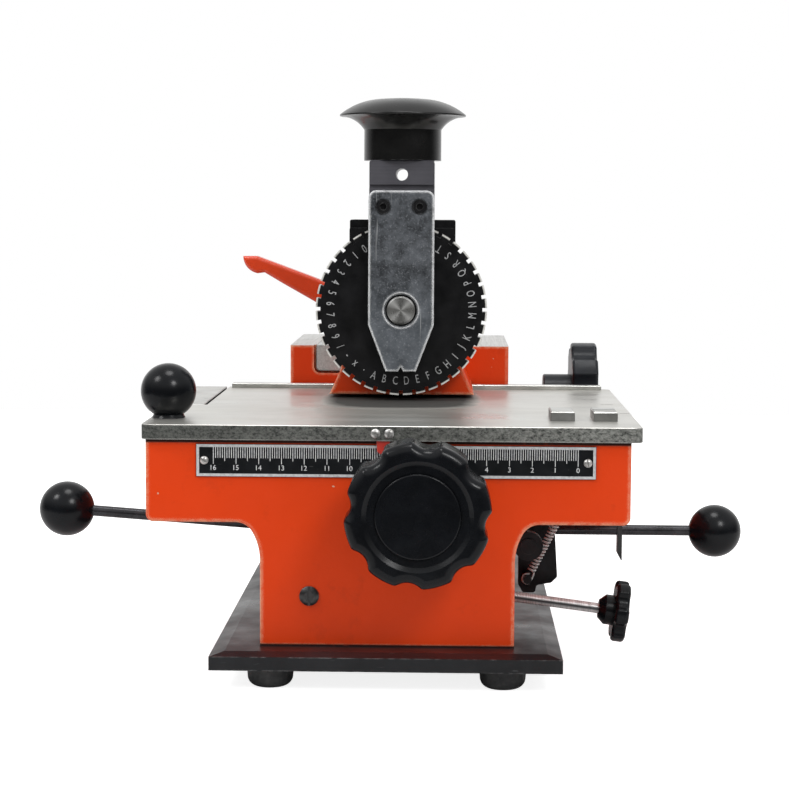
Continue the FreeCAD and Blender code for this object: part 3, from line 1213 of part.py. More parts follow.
def make_mushroom():
    low = RAM_TOP
    neck = S.mushroom_neck
    rim = S.mushroom_radius
    # The dome is nearly flat in the middle and runs into a rounder shoulder
    flat = number(S.mushroom_flat)
    crown = number(S.mushroom_crown)
    drop = crown - math.sqrt(crown * crown - flat * flat)
    run = number(rim) - 0.7 - flat
    fall = number(S.mushroom_high - S.mushroom_rim) - 1.0 - drop
    lean = math.atan2(fall, run) - math.asin(flat / crown)
    shoulder = math.hypot(run, fall) / (2 * math.sin(lean))
    points = [
        (MIDDLE, MIDDLE - 10.0), (4.9, -10.0), (4.9, 0.0), (neck, 0.0),
        (neck, S.mushroom_collar, -14.5),
        (rim - 0.5, S.mushroom_rim, 0.7), (rim - 0.7, S.mushroom_rim + 1.0, shoulder),
        (S.mushroom_flat, S.mushroom_high - drop, crown),
        (MIDDLE, S.mushroom_high),
    ]
    knob = turned("mushroom_turned", points, (S.head_x, MUSHROOM_Y, low))
    # The ram's cross hole runs on through the knob's stud
    cross = bar("mushroom_cross", S.cross_hole, 12.0,
                (S.head_x, MUSHROOM_Y - 6.0, low - S.cross_hole_drop), "y")
    return keep("mushroom_knob", cut("mushroom_knob", knob, [cross]))


def make_front_plate():
    x = S.head_x
    c = 3.8
    notch = 1.3
    low = WHEEL_Z - S.plate_reach
    points = [
        (x - S.plate_tip_half, low), (x - notch, low), (x, low + 2.2), (x + notch, low),
        (x + S.plate_tip_half, low), (x + S.plate_half, WHEEL_Z - S.plate_taper),
        (x + S.plate_half, PLATE_TOP - c, c), (x + S.plate_half - c, PLATE_TOP),
        (x - S.plate_half + c, PLATE_TOP, c), (x - S.plate_half, PLATE_TOP - c),
        (x - S.plate_half, WHEEL_Z - S.plate_taper),
    ]
    plate = prism("front_plate_solid", "XZ_Plane", points, PLATE_FRONT, S.plate_thick)
    soft = bevelled("front_plate_edges", plate, 0.5,
                    lambda m, t, e: abs(m.y - number(PLATE_FRONT)) < 0.01)
    holes = [
        bar("plate_axle_hole", S.plate_hole, S.plate_thick, (x, PLATE_FRONT, WHEEL_Z), "y"),
        cone("plate_hole_cone", S.plate_hole + S.plate_hole_bevel, S.plate_hole, S.plate_hole_bevel,
             (x, PLATE_FRONT, WHEEL_Z), "y"),
    ]
    screws = []
    for i, px in enumerate(plate_screw_x()):
        holes.append(bar(f"plate_screw_clear{i}", 2.0, S.plate_thick, (px, PLATE_FRONT, PLATE_SCREW_Z), "y"))
        holes.append(bar(f"plate_screw_sink{i}", 3.6, 3.0, (px, PLATE_FRONT, PLATE_SCREW_Z), "y"))
        head = bar(f"plate_screw_head{i}", 3.4, 2.7, (px, PLATE_FRONT + 0.3, PLATE_SCREW_Z), "y")
        shank = bar(f"plate_screw_shank{i}", 2.0, 1.0 + 9.0, (px, PLATE_FRONT + 3.0, PLATE_SCREW_Z), "y")
        socket = bar(f"plate_screw_socket{i}", 1.7, 2.0, (px, PLATE_FRONT + 0.3, PLATE_SCREW_Z), "y")
        screws.append(cut(f"plate_screw{i}", fuse(f"plate_screw_whole{i}", [head, shank]), [socket]))
    keep("front_plate", cut("front_plate", soft, holes))
    keep("plate_screws", group("plate_screws", screws))


def make_axle():
    start = PLATE_FRONT - 1.2
    length = RAM_BACK - start
    shaft = bar("axle_bar", S.axle_radius, length, (S.head_x, start, WHEEL_Z), "y")
    keep("wheel_axle", bevelled("axle_edge", shaft, 0.8, lambda m, t, e: abs(m.y - number(start)) < 0.01))
    nose = bar("plunger_bar", 2.0, 10.0, (S.head_x, SLAB_FRONT, WHEEL_Z + S.plunger_rise), "y")
    tip = ball("plunger_tip", 2.0, (S.head_x, SLAB_FRONT, WHEEL_Z + S.plunger_rise))
    keep("index_plunger", fuse("index_plunger", [nose, tip]))


def make_wheel():
    x = S.head_x
    disc = bar("wheel_disc", S.wheel_radius, S.wheel_thick, (0, 0, 0))
    tools = [bar("wheel_bore", S.axle_radius + S.fit_play, 30.0, (0, 0, -1.0))]
    count = int(number(S.type_count))
    for i in range(count):
        angle = 360 / count * i
        gap = block(f"type_gap{i}", (S.wheel_radius - S.type_deep, S.wheel_radius + 1.0),
                    (-S.type_gap / 2, S.type_gap / 2), (MIDDLE, S.wheel_thick))
        spot = Vector(number(S.wheel_radius - S.type_deep), -number(S.type_gap) / 2, 0)
        turn = Rotation(Vector(0, 0, 1), angle)
        gap.Placement = Placement(turn.multVec(spot), turn)
        gap.setExpression("Placement.Base.x", None)
        gap.setExpression("Placement.Base.y", None)
        tools.append(gap)
    toothed = cut("wheel_toothed", disc, tools)
    # Hub that keeps the wheel off the front plate
    hub = ring("wheel_hub", S.wheel_hub, S.axle_radius + S.fit_play, S.plate_gap - 0.3, (0, 0, 0))
    place(hub, (MIDDLE, MIDDLE, S.wheel_thick))
    whole = fuse("type_wheel", [toothed, hub])
    place(whole, (x, WHEEL_BACK, WHEEL_Z), TURN["-y"])
    return keep("type_wheel", whole)


# Clamping lever that locks the head slide

def make_clamp_lever():
    low = COLUMN_TOP + 0.3
    at = (-S.clamp_x, CLAMP_Y, low)
    foot = bar("clamp_foot", S.clamp_hub - 1.5, 7.0, at)
    hub = cone("clamp_hub", S.clamp_hub - 0.5, S.clamp_hub + 0.5, 20.0, (-S.clamp_x, CLAMP_Y, low + 7.0))
    cap = ball("clamp_cap", S.clamp_hub + 0.4, (-S.clamp_x, CLAMP_Y, low + 26.0))
    flat = block("clamp_cap_cut", (-S.clamp_x - 20.0, -S.clamp_x + 20.0),
                 (CLAMP_Y - 20.0, CLAMP_Y + 20.0), (low + 31.0, low + 50.0))
    stud = bar("clamp_stud", S.clamp_stud, STUD_DEPTH + COLUMN_TOP - CHANNEL_FLOOR,
               (-S.clamp_x, CLAMP_Y, CHANNEL_FLOOR - STUD_DEPTH))
    # Arm: from the hub up to the left, first steep and then flat, seen from the front
    z0 = number(low)
    points = [(-28.0, z0 + 12.5), (-40.0, z0 + 17.0), (-65.7, z0 + 31.5), (-75.4, z0 + 37.2),
              (-79.2, z0 + 36.7, -9.5), (-87.2, z0 + 46.2), (-79.4, z0 + 46.2), (-48.3, z0 + 34.8),
              (-28.0, z0 + 27.0)]
    arm = prism("clamp_arm", "XZ_Plane", points, CLAMP_Y - 5.5, 11.0)
    soft = rounded("clamp_arm_soft", arm, 2.0, lambda m, t, e: abs(abs(m.y - number(CLAMP_Y)) - 5.5) < 0.01
                   and m.x < -36)
    dome = cut("clamp_dome", cap, [flat])
    return keep("clamp_lever", fuse("clamp_lever", [foot, hub, dome, stud, soft]))


# Rear star knob with its cross shaft and pinion

def make_rear_knob():
    lobes = lobed_disc("rear_lobes", S.rear_knob_radius, S.rear_knob_thick, 8, 8.0, 3.6, 1.6, 1.4, 30.0)
    place(lobes, (S.column_half + 34.6, REAR_Y, REAR_Z), TURN["x"])
    hub = bar("rear_hub", S.rear_hub_radius, S.rear_hub_long, (S.column_half + 19.8, REAR_Y, REAR_Z), "x")
    soft = bevelled("rear_hub_soft", hub, 0.6, lambda m, t, e: m.x < number(S.column_half) + 20)
    bore = bar("rear_bore", S.rear_shaft_radius, 40.0, (S.column_half, REAR_Y, REAR_Z), "x")
    keep("rear_star_knob", cut("rear_star_knob", fuse("rear_knob_whole", [lobes, soft]), [bore]))
    start = SLIDE_RACK_LEFT - 8.5
    shaft = bar("rear_shaft", S.rear_shaft_radius, S.column_half + 40.0 - start,
                (start, REAR_Y, REAR_Z), "x")
    keep("rear_shaft", shaft)
    wheel = pinion("slide_pinion", S.slide_pitch_radius, S.slide_teeth,
                   number(SLIDE_RACK_RIGHT - SLIDE_RACK_LEFT), (SLIDE_RACK_LEFT, REAR_Y, REAR_Z),
                   "x", S.rear_shaft_radius)
    keep("slide_pinion", wheel)
    outer = S.rear_shaft_radius + S.rear_bush_wall
    inner = S.rear_shaft_radius + S.fit_play
    bushes = [
        ring("rear_bush0", outer, inner, 7.0, (SLIDE_RACK_LEFT - 9.0, REAR_Y, REAR_Z), "x"),
        ring("rear_bush1", outer, inner, 12.0, (S.column_half - 12.0, REAR_Y, REAR_Z), "x"),
    ]
    keep("rear_bushes", group("rear_bushes", bushes))


# Left lever: ball, rod, hub, and the arm that holds the ratchet wheel

def make_release_lever():
    px = number(RELEASE_X)
    pz = number(RELEASE_Z)
    bx = number(RELEASE_BALL_X)
    bz = number(WING_LOW + S.release_ball_rise)
    along = Vector(bx - px, 0, bz - pz)
    turn = Rotation(Vector(0, 0, 1), along)
    start = Vector(px, number(RELEASE_Y), pz) + along.normalize() * 4.0
    reach = math.hypot(bx - px, bz - pz) - 4.0 - number(S.ball_radius) + 4.0
    rod = doc.addObject("Part::Cylinder", "release_rod")
    bind(rod, "Radius", S.lever_rod_radius)
    rod.Height = reach
    rod.Placement = Placement(start, turn)
    pin_clear = S.fit_play + S.pin_radius
    hub = bar("release_hub", 5.8, 9.0, (RELEASE_X, RELEASE_Y - 4.5, RELEASE_Z), "y")
    # The arm starts at the pivot and ends just short of the ratchet wheel
    tip = S.hand_x - S.ratchet_radius - 1.4
    arm_points = [(RELEASE_X - 4.0, RELEASE_Z - 4.1), (RELEASE_X + 4.0, RELEASE_Z - 4.7),
                  (tip - 8.6, HAND_Z - 9.5), (tip - 1.0, HAND_Z - 5.0), (tip, HAND_Z),
                  (tip - 5.6, HAND_Z + 0.5), (tip - 16.6, HAND_Z - 4.5), (RELEASE_X - 1.0, RELEASE_Z + 5.5)]
    arm = prism("release_arm", "XZ_Plane", arm_points, PAWL_FRONT + 0.6, 4.8)
    bore = bar("release_bore", pin_clear, 20.0,
               (RELEASE_X, RELEASE_Y - 10.0, RELEASE_Z), "y")
    rod_hole = doc.addObject("Part::Cylinder", "release_rod_hole")
    bind(rod_hole, "Radius", S.lever_rod_radius)
    rod_hole.Height = reach
    rod_hole.Placement = Placement(start, turn)
    keep("release_arm", cut("release_arm", fuse("release_arm_whole", [hub, arm]), [bore, rod_hole]))
    keep("release_rod", rod)
    knob = ball("release_sphere", S.ball_radius, (RELEASE_BALL_X, RELEASE_Y, WING_LOW + S.release_ball_rise))
    seat = doc.addObject("Part::Cylinder", "release_seat")
    bind(seat, "Radius", S.lever_rod_radius)
    seat.Height = reach
    seat.Placement = Placement(start, turn)
    keep("release_ball", cut("release_ball", knob, [seat]))
    pin = bar("release_pin", S.pin_radius, PIN_DEPTH + S.release_inset - S.front_wall + 8.0,
              (RELEASE_X, CAVITY_FRONT - PIN_DEPTH, RELEASE_Z), "y")
    keep("lever_pin", pin)


# Right lever: ball, rod with its blade, hub, rockshaft, crank and feed arm

STEP_ROD_END = 4.0


def make_step_lever():
    px = STEP_X
    pz = STEP_Z
    y = STEP_Y
    knob = ball("step_sphere", S.ball_radius, (STEP_BALL_X, y, pz))
    reach = STEP_BALL_X - px - S.rockshaft_radius - S.ball_radius + STEP_ROD_END
    start = (px + S.rockshaft_radius, y, pz)
    keep("step_rod", bar("step_rod", S.lever_rod_radius, reach, start, "x"))
    keep("step_ball", cut("step_ball", knob, [bar("step_seat", S.lever_rod_radius, reach, start, "x")]))
    hub = bar("step_hub", 6.8, 18.0, (px, y - 10.0, pz), "y")
    low = pz - S.spring_drop
    crank_points = [(px - 3.5, pz + 5.5), (px - 3.4, low - 4.8), (px - 1.2, low - 8.6),
                    (px + 4.6, low - 8.6), (px + 5.2, low - 5.0), (px + 12.2, low - 3.8),
                    (px + 15.0, low - 1.0), (px + 13.8, pz), (px + 10.0, pz + 6.0)]
    crank = prism("crank_plate", "XZ_Plane", crank_points, CRANK_FRONT, S.crank_thick)
    soft = rounded("crank_soft", crank, 1.5, lambda m, t, e: abs(t.y) > 0.9)
    link = bar("crank_link", 6.8, STEP_Y - 10.0 - CRANK_FRONT, (px, CRANK_FRONT, pz), "y")
    pin = bar("crank_pin", S.crank_pin, CRANK_FRONT + S.crank_thick - SPRING_Y + 3.5,
              (EYE_LOW_X, SPRING_Y - 3.5, EYE_LOW_Z), "y")
    tools = [
        bar("step_bore", S.rockshaft_radius, 60.0, (px, CRANK_FRONT - 5.0, pz), "y"),
        bar("step_rod_hole", S.lever_rod_radius, reach, start, "x"),
    ]
    keep("step_crank", cut("step_crank", fuse("step_crank_whole", [hub, soft, link, pin]), tools))
    shaft_start = PAWL_FRONT - 0.8
    keep("rockshaft", bar("rockshaft", S.rockshaft_radius, STEP_Y + 17.0 - shaft_start,
                          (px, shaft_start, pz), "y"))
    ring_part = bar("feed_ring", 6.6, 6.0, (px, PAWL_FRONT, pz), "y")
    # The arm passes the wall's window and ends just short of the ratchet wheel
    tip = S.hand_x + S.ratchet_radius + 2.2
    arm_points = [(px + 4.5, pz - 4.8), (px + 5.5, pz + 3.2), (px - 6.5, pz + 10.4), (px - 14.5, pz + 11.4),
                  (tip + 6.8, HAND_Z - 5.5), (tip + 4.8, HAND_Z + 1.5), (tip, HAND_Z + 1.5),
                  (tip - 0.4, HAND_Z - 4.0), (px - 21.0, pz + 9.2), (px - 11.5, pz + 4.2),
                  (px - 3.5, pz - 5.3)]
    arm = prism("feed_arm_plate", "XZ_Plane", arm_points, PAWL_FRONT + 0.6, 4.8)
    bore = bar("feed_bore", S.rockshaft_radius, 6.0, (px, PAWL_FRONT, pz), "y")
    keep("feed_arm", cut("feed_arm", fuse("feed_arm_whole", [ring_part, arm]), [bore]))
    # Blade hanging from the rod, its tip cut slanting
    bx = S.wing_half + 1.1
    blade_points = [(bx, pz + 3.4), (bx, pz - 10.9), (bx + 1.9, pz - 14.4), (bx + BLADE_WIDE, pz - 14.4),
                    (bx + BLADE_WIDE, pz + 3.4)]
    blade = prism("blade_plate", "XZ_Plane", blade_points, y - 3.2, 6.4)
    eye = bar("blade_eye", S.lever_rod_radius, 6.0, (bx - 2.0, y, pz), "x")
    keep("rod_blade", cut("rod_blade", blade, [eye]))


BLADE_WIDE = 2.3
BEARING_LONG = 5.2
BEARING_RELIEF = 2.1
EYE_LOW_X = STEP_X + 0.4
EYE_LOW_Z = STEP_Z - S.spring_drop
EYE_HIGH_X = EYE_LOW_X + S.spring_run
EYE_HIGH_Z = EYE_LOW_Z + S.spring_rise


def make_lever_bearings():
    px = STEP_X
    pz = STEP_Z
    blocks = []
    for i, low in enumerate((CRANK_FRONT - 7.0, STEP_Y + 10.5)):
        solid = block(f"bearing_raw{i}", (S.body_half, px + 7.2), (low, low + BEARING_LONG),
                      (pz - 7.2, pz + 7.2))
        soft = rounded(f"bearing_soft{i}", solid, 3.0,
                       lambda m, t, e: abs(t.y) > 0.9 and m.x > number(px))
        bore = bar(f"bearing_bore{i}", S.rockshaft_radius + S.fit_play, 10.0,
                   (px, low - 1.0, pz), "y")
        # The block's corner clears the round under the wing
        corner = block(f"bearing_corner{i}", (S.body_half, S.body_half + BEARING_RELIEF),
                       (low, low + BEARING_LONG), (WING_LOW - S.fillet_high - 0.3, pz + 7.2))
        blocks.append(cut(f"bearing{i}", soft, [bore, corner]))
    keep("lever_bearings", group("lever_bearings", blocks))
    y = SPRING_Y
    stem = block("hanger_stem", (EYE_HIGH_X - 3.0, EYE_HIGH_X + 3.0), (y + 3.6, y + 6.2),
                 (EYE_HIGH_Z - 3.2, WING_LOW))
    pin = bar("hanger_pin", S.crank_pin, 10.0, (EYE_HIGH_X, y - 3.8, EYE_HIGH_Z), "y")
    keep("spring_hanger", fuse("spring_hanger", [stem, pin]))


# Wound wire

def biarc(p0, t0, p1, t1):
    """Two tangent arcs from one point and direction to another."""
    way = p1 - p0
    both = t0 + t1
    flat = 2 * (1 - t0.dot(t1))
    if flat < 1e-9:
        step = way.dot(way) / (4 * way.dot(t1))
    else:
        inner = way.dot(both) ** 2 + flat * way.dot(way)
        step = (-way.dot(both) + math.sqrt(inner)) / flat
    q0 = p0 + t0 * step
    q1 = p1 - t1 * step
    joint = (q0 + q1) * 0.5
    return [arc_to(p0, q0, joint), arc_to(joint, q1, p1)]


def arc_to(start, corner, end):
    """Arc between two points whose tangents meet at a corner."""
    a = corner - start
    b = end - corner
    turn = a.getAngle(b)
    if turn < 1e-4:
        return Part.LineSegment(start, end).toShape()
    middle = (start + end) * 0.5
    lift = corner - middle
    share = math.tan(turn / 4) / math.tan(turn / 2)
    return Part.Arc(start, middle + lift * share, end).toShape()


def coil_path(radius, length, turns, lead, flare):
    """Line of a coil about +Z: straight lead, a sweep out to the coil, turns, and the same back."""
    rise = (length - 2 * lead - 2 * flare) / turns
    low = lead + flare

    def on_coil(quarter):
        angle = math.pi / 2 * quarter
        point = Vector(radius * math.cos(angle), radius * math.sin(angle), low + rise * quarter / 4)
        heading = Vector(-math.sin(angle) * radius, math.cos(angle) * radius, rise / (2 * math.pi))
        return point, heading.normalize()

    up = Vector(0, 0, 1)
    edges = []
    if lead > 0:
        edges.append(Part.LineSegment(Vector(0, 0, 0), Vector(0, 0, lead)).toShape())
        first, heading = on_coil(0)
        edges += biarc(Vector(0, 0, lead), up, first, heading)
    quarters = int(round(turns * 4))
    for q in range(quarters):
        a, ta = on_coil(q)
        b, tb = on_coil(q + 1)
        edges += biarc(a, ta, b, tb)
    if lead > 0:
        last, heading = on_coil(quarters)
        edges += biarc(last, heading, Vector(0, 0, length - lead), up)
        edges.append(Part.LineSegment(Vector(0, 0, length - lead), Vector(0, 0, length)).toShape())
    return edges


def wound_tube(name, edges, wire_radius, placement):
    """Round wire along a line of arcs, and its least gap to itself, printed."""
    path = Part.Wire(edges)
    first = edges[0]
    start = first.valueAt(first.FirstParameter)
    along = first.tangentAt(first.FirstParameter)
    ring_edge = Part.Circle(start, along, wire_radius).toShape()
    tube = path.makePipeShell([Part.Wire([ring_edge])], True, False)
    points = []
    for edge in edges:
        span = edge.LastParameter - edge.FirstParameter
        for k in range(4):
            points.append(edge.valueAt(edge.FirstParameter + span * k / 4))
    spacing = path.Length / len(points)
    skip = int(math.ceil(6 * wire_radius / spacing)) + 2
    gap = min((a - b).Length for i, a in enumerate(points) for b in points[i + skip:]) - 2 * wire_radius
    share = tube.Volume / (math.pi * wire_radius ** 2 * path.Length)
    print(f"{name}: wire length {path.Length:.1f} mm, least gap {gap:.2f} mm, volume share {share:.3f}")
    item = doc.addObject("Part::Feature", name)
    item.Shape = tube
    item.Placement = placement
    return item


def make_springs():
    low = Vector(number(EYE_LOW_X), number(SPRING_Y), number(EYE_LOW_Z))
    high = Vector(number(EYE_HIGH_X), number(SPRING_Y), number(EYE_HIGH_Z))
    along = high - low
    length = along.Length - 2 * number(S.crank_pin)
    start = low + along.normalize() * number(S.crank_pin)
    lead = 4 * number(S.spring_wire)
    edges = coil_path(number(S.spring_radius), length, number(S.spring_turns), lead, 1.4)
    keep("tension_spring", wound_tube("tension_spring", edges, number(S.spring_wire),
                                      Placement(start, Rotation(Vector(0, 0, 1), along))))
    wire = number(S.return_wire)
    height = number(S.return_length)
    edges = coil_path(number(S.return_radius), height, number(S.return_turns), 2 * wire, 2.5)
    at = Vector(number(S.head_x), number(RAM_BACK) + POCKET_DEEP / 2, number(RETURN_LOW))
    keep("return_spring", wound_tube("return_spring", edges, wire, Placement(at, Rotation())))


# Adjusting screw, held in the tapped side wall, with its star knob

def make_adjuster():
    keep("adjust_screw", bar("adjust_screw", S.adjust_radius, S.adjust_reach + 23.0,
                             adjust_at(-12.5), ADJUST_TURN))
    reach = number(S.adjust_reach)
    hub_points = [(MIDDLE, MIDDLE), (4.2, 0.0), (6.9, 3.0), (6.9, 7.6), (0.0, 7.6)]
    hub = turned("adjust_hub", hub_points, adjust_at(reach), ADJUST_TURN)
    head = lobed_disc("adjust_lobes", S.adjust_knob_radius, 6.4, 6, 5.0, 2.6, 1.6, 1.4)
    place(head, adjust_at(reach + 6.8), ADJUST_TURN)
    bore = bar("adjust_bore", S.adjust_radius, 10.5, adjust_at(reach), ADJUST_TURN)
    keep("adjust_knob", cut("adjust_knob", fuse("adjust_knob_whole", [hub, head]), [bore]))


# Build all, test all, and write the files

def make_all():
    make_base_plate()
    make_base_bolts()
    make_feet()
    make_pedestal()
    make_column()
    make_ruler()
    make_slotted_screw()
    make_front_bush()
    make_guide_rods()
    make_table()
    make_corner_insert()
    make_back_fence()
    make_stop_blocks()
    make_pointer()
    make_table_ball()
    make_saddle()
    make_carriage_rack()
    make_hand_knob()
    make_hand_shaft()
    make_slide_bar()
    make_head_bracket()
    make_guide_block()
    make_ram()
    make_mushroom()
    make_front_plate()
    make_axle()
    make_wheel()
    make_clamp_lever()
    make_rear_knob()
    make_release_lever()
    make_step_lever()
    make_lever_bearings()
    make_springs()
    make_adjuster()


def write_all():
    doc.recompute()
    faults = [f"{item.Label}: {item.State}" for item in doc.Objects
              if "Invalid" in item.State or "Error" in item.State]
    for label, item in NODES.items():
        if item.Shape.isNull() or not item.Shape.isValid() or not item.Shape.Solids:
            faults.append(f"{label}: no valid solid")
    if faults:
        raise RuntimeError("; ".join(faults))
    os.makedirs("parts", exist_ok=True)
    for label, item in NODES.items():
        item.Shape.exportStep(f"parts/{label}.step")
    print(len(NODES), "nodes written")


make_all()
write_all()
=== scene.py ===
import math

import bpy
from bpy.props import FloatProperty, FloatVectorProperty, IntProperty, PointerProperty
from bpy.types import Operator, Panel, PropertyGroup
from mathutils import Matrix, Vector


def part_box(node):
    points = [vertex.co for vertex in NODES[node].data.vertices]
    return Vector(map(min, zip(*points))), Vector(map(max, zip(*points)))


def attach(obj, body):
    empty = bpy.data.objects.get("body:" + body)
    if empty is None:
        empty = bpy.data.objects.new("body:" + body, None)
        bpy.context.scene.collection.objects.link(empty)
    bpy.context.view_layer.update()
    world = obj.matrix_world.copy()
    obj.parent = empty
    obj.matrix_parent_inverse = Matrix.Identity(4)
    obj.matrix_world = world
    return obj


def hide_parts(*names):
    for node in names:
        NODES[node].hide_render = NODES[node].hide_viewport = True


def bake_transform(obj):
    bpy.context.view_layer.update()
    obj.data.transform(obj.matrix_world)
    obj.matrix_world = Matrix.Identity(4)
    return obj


bl_info = {
    "name": "Nameplate marking machine",
    "version": (1, 0, 0),
    "blender": (4, 5, 0),
    "location": "3D View > Sidebar > Marking machine",
    "description": "Finishes and small details of a bench machine that marks metal nameplates",
    "category": "Object",
}

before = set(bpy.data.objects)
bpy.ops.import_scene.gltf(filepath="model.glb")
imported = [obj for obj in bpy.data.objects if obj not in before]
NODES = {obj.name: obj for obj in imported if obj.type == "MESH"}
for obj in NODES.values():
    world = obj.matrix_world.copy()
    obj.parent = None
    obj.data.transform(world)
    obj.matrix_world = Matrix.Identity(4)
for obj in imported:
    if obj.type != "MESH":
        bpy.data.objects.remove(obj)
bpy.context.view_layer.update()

# Points nearer than this are one point
CLOSE = 0.000002


# Short ways to work

def clear_selection():
    """Leaves edit mode with nothing selected."""
    if bpy.context.object and bpy.context.object.mode != "OBJECT":
        bpy.ops.object.mode_set(mode="OBJECT")
    bpy.ops.object.select_all(action="DESELECT")


def only(piece):
    """Selects one piece and makes it the active one."""
    clear_selection()
    piece.select_set(True)
    bpy.context.view_layer.objects.active = piece


def settle(piece, name, material):
    """Gives a piece its name and its one material."""
    piece.name = name
    piece.data.name = name
    piece.data.materials.clear()
    piece.data.materials.append(material)


def turn_outwards(merge=0.0):
    """Merges close points of the active mesh if asked, and points its faces outwards."""
    bpy.ops.object.mode_set(mode="EDIT")
    bpy.ops.mesh.select_all(action="SELECT")
    if merge:
        bpy.ops.mesh.remove_doubles(threshold=merge)
    bpy.ops.mesh.normals_make_consistent(inside=False)
    bpy.ops.object.mode_set(mode="OBJECT")


def finish_piece(piece, name, body, material):
    """Names a piece, puts its place into its mesh, and makes it ride on a body."""
    only(piece)
    bpy.ops.object.transform_apply()
    turn_outwards(CLOSE)
    settle(piece, name, material)
    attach(piece, body)


def joined(pieces):
    """Several objects made one mesh, each with its place kept."""
    clear_selection()
    for piece in pieces:
        piece.select_set(True)
    bpy.context.view_layer.objects.active = pieces[0]
    if len(pieces) > 1:
        bpy.ops.object.join()
    return bpy.context.object


def apply_modifier(piece, kind, **values):
    """Adds a modifier of a kind with its settings and applies it."""
    only(piece)
    modifier = piece.modifiers.new(kind.title(), kind)
    for name, value in values.items():
        setattr(modifier, name, value)
    bpy.ops.object.modifier_apply(modifier=modifier.name)


def centre(low_high):
    """The middle of a span."""
    return (low_high[0] + low_high[1]) / 2


# Sizes and colours that a user would change

def length(name, description, default):
    """A length in metres for the panel."""
    return FloatProperty(name=name, description=description, default=default, unit="LENGTH",
                         precision=4, min=0.0)


def colour(name, description, default):
    """A colour for the panel."""
    return FloatVectorProperty(name=name, description=description, default=default,
                               subtype="COLOR", size=3, min=0.0, max=1.0)


class MarkingSizes(PropertyGroup):
    """Sizes of the marks and of the wound pieces."""
    mark_thick: length("Mark thickness", "How far printed marks stand proud", 0.00006)
    tick_wide: length("Tick width", "Width of a millimetre mark on the ruler", 0.00028)
    tick_short: length("Short tick", "Length of a millimetre mark", 0.0049)
    tick_half: length("Half tick", "Length of a half centimetre mark", 0.0062)
    tick_long: length("Long tick", "Length of a centimetre mark", 0.0075)
    digit_high: length("Ruler digit", "Height of the ruler's numbers", 0.0022)
    border_wide: length("Ruler border", "Width of the bright border of the ruler", 0.0012)
    letter_high: length("Wheel letter", "Height of the characters on the wheel", 0.0041)
    letter_ring: length("Wheel ring", "Radius at the middle of the wheel's characters", 0.0351)
    tension_coil: length("Tension coil", "Radius of the tension spring at its wire line", 0.0017)
    tension_wire: length("Tension wire", "Radius of the tension spring's wire", 0.0004)
    tension_turns: IntProperty(name="Tension turns", description="Turns of the tension spring",
                               default=16, min=4, max=60)
    return_coil: length("Return coil", "Radius of the return spring at its wire line", 0.0040)
    return_wire: length("Return wire", "Radius of the return spring's wire", 0.0006)
    return_turns: IntProperty(name="Return turns", description="Turns of the return spring",
                              default=9, min=3, max=40)


class MarkingColours(PropertyGroup):
    """Colours of the paints and metals, as light reflected."""
    orange: colour("Casting paint", "Orange paint of the castings", (0.715, 0.050, 0.004))
    # Stands for rubbed paint at the castings' edges and also for a painted glint along them
    orange_pale: colour("Worn paint", "Rubbed paint at the castings' edges", (0.80, 0.47, 0.29))
    black: colour("Base paint", "Black paint of the base", (0.011, 0.0118, 0.0135))
    plastic: colour("Knob plastic", "Black plastic of knobs and balls", (0.0035, 0.004, 0.005))
    bright: colour("Table steel", "Ground steel of the table", (0.64, 0.63, 0.59))
    dull: colour("Plate steel", "Grey steel of the front plate", (0.16, 0.172, 0.19))
    dark: colour("Ram steel", "Dark steel of the ram", (0.095, 0.093, 0.106))
    oxide: colour("Black oxide", "Blackened steel of wheel and screws", (0.009, 0.009, 0.010))
    red: colour("Pointer", "Red paint of the pointer", (0.60, 0.045, 0.03))
    mark: colour("Marks", "White of the printed marks", (0.78, 0.79, 0.80))
    bronze: colour("Bushes", "Bronze of the bushes", (0.50, 0.31, 0.13))
    rubber: colour("Feet", "Black rubber of the feet", (0.014, 0.014, 0.015))


class StageSettings(PropertyGroup):
    """Camera and light."""
    key: FloatProperty(name="Key light", description="Power of the large soft light",
                       default=12.0, min=0.0, unit="POWER")
    fill: FloatProperty(name="Fill light", description="Power of the light from the right",
                        default=14.0, min=0.0, unit="POWER")
    lens: FloatProperty(name="Lens", description="Focal length on a 36 mm sensor", default=93.54,
                        min=10.0, unit="CAMERA")
    room: FloatProperty(name="Room light", description="Strength of the light from all round",
                        default=0.70, min=0.0, max=2.0)


def settings():
    """The sizes, colours and stage that the panel shows."""
    scene = bpy.context.scene
    return scene.marking_sizes, scene.marking_colours, scene.marking_stage


# Materials

# The first two are the heights of the painted shade under the table and over the base
SEAM_SHADE_HIGH, SEAM_SHADE_LOW, FLATS_DEEP = 0.0016, 0.0012, 0.0006
SINK_REACH, SINK_HIGH, BEVEL_REACH = 0.0138, 0.0054, 0.0079
# Half width, near and far reach and squareness of the painted shadow of the head on the table
SHADOW_HALF, SHADOW_NEAR_REACH, SHADOW_FAR_REACH, SHADOW_SQUARE = 0.0375, 0.056, 0.100, 3.6
# Between these parts of its normal's height a face turns from upright to flat
UPRIGHT = (0.25, 0.75, 1.0, 0.0)
NOT_NOTHING = 1e-9
# A pattern that isn't drawn out in any direction
EVEN = (1, 1, 1)


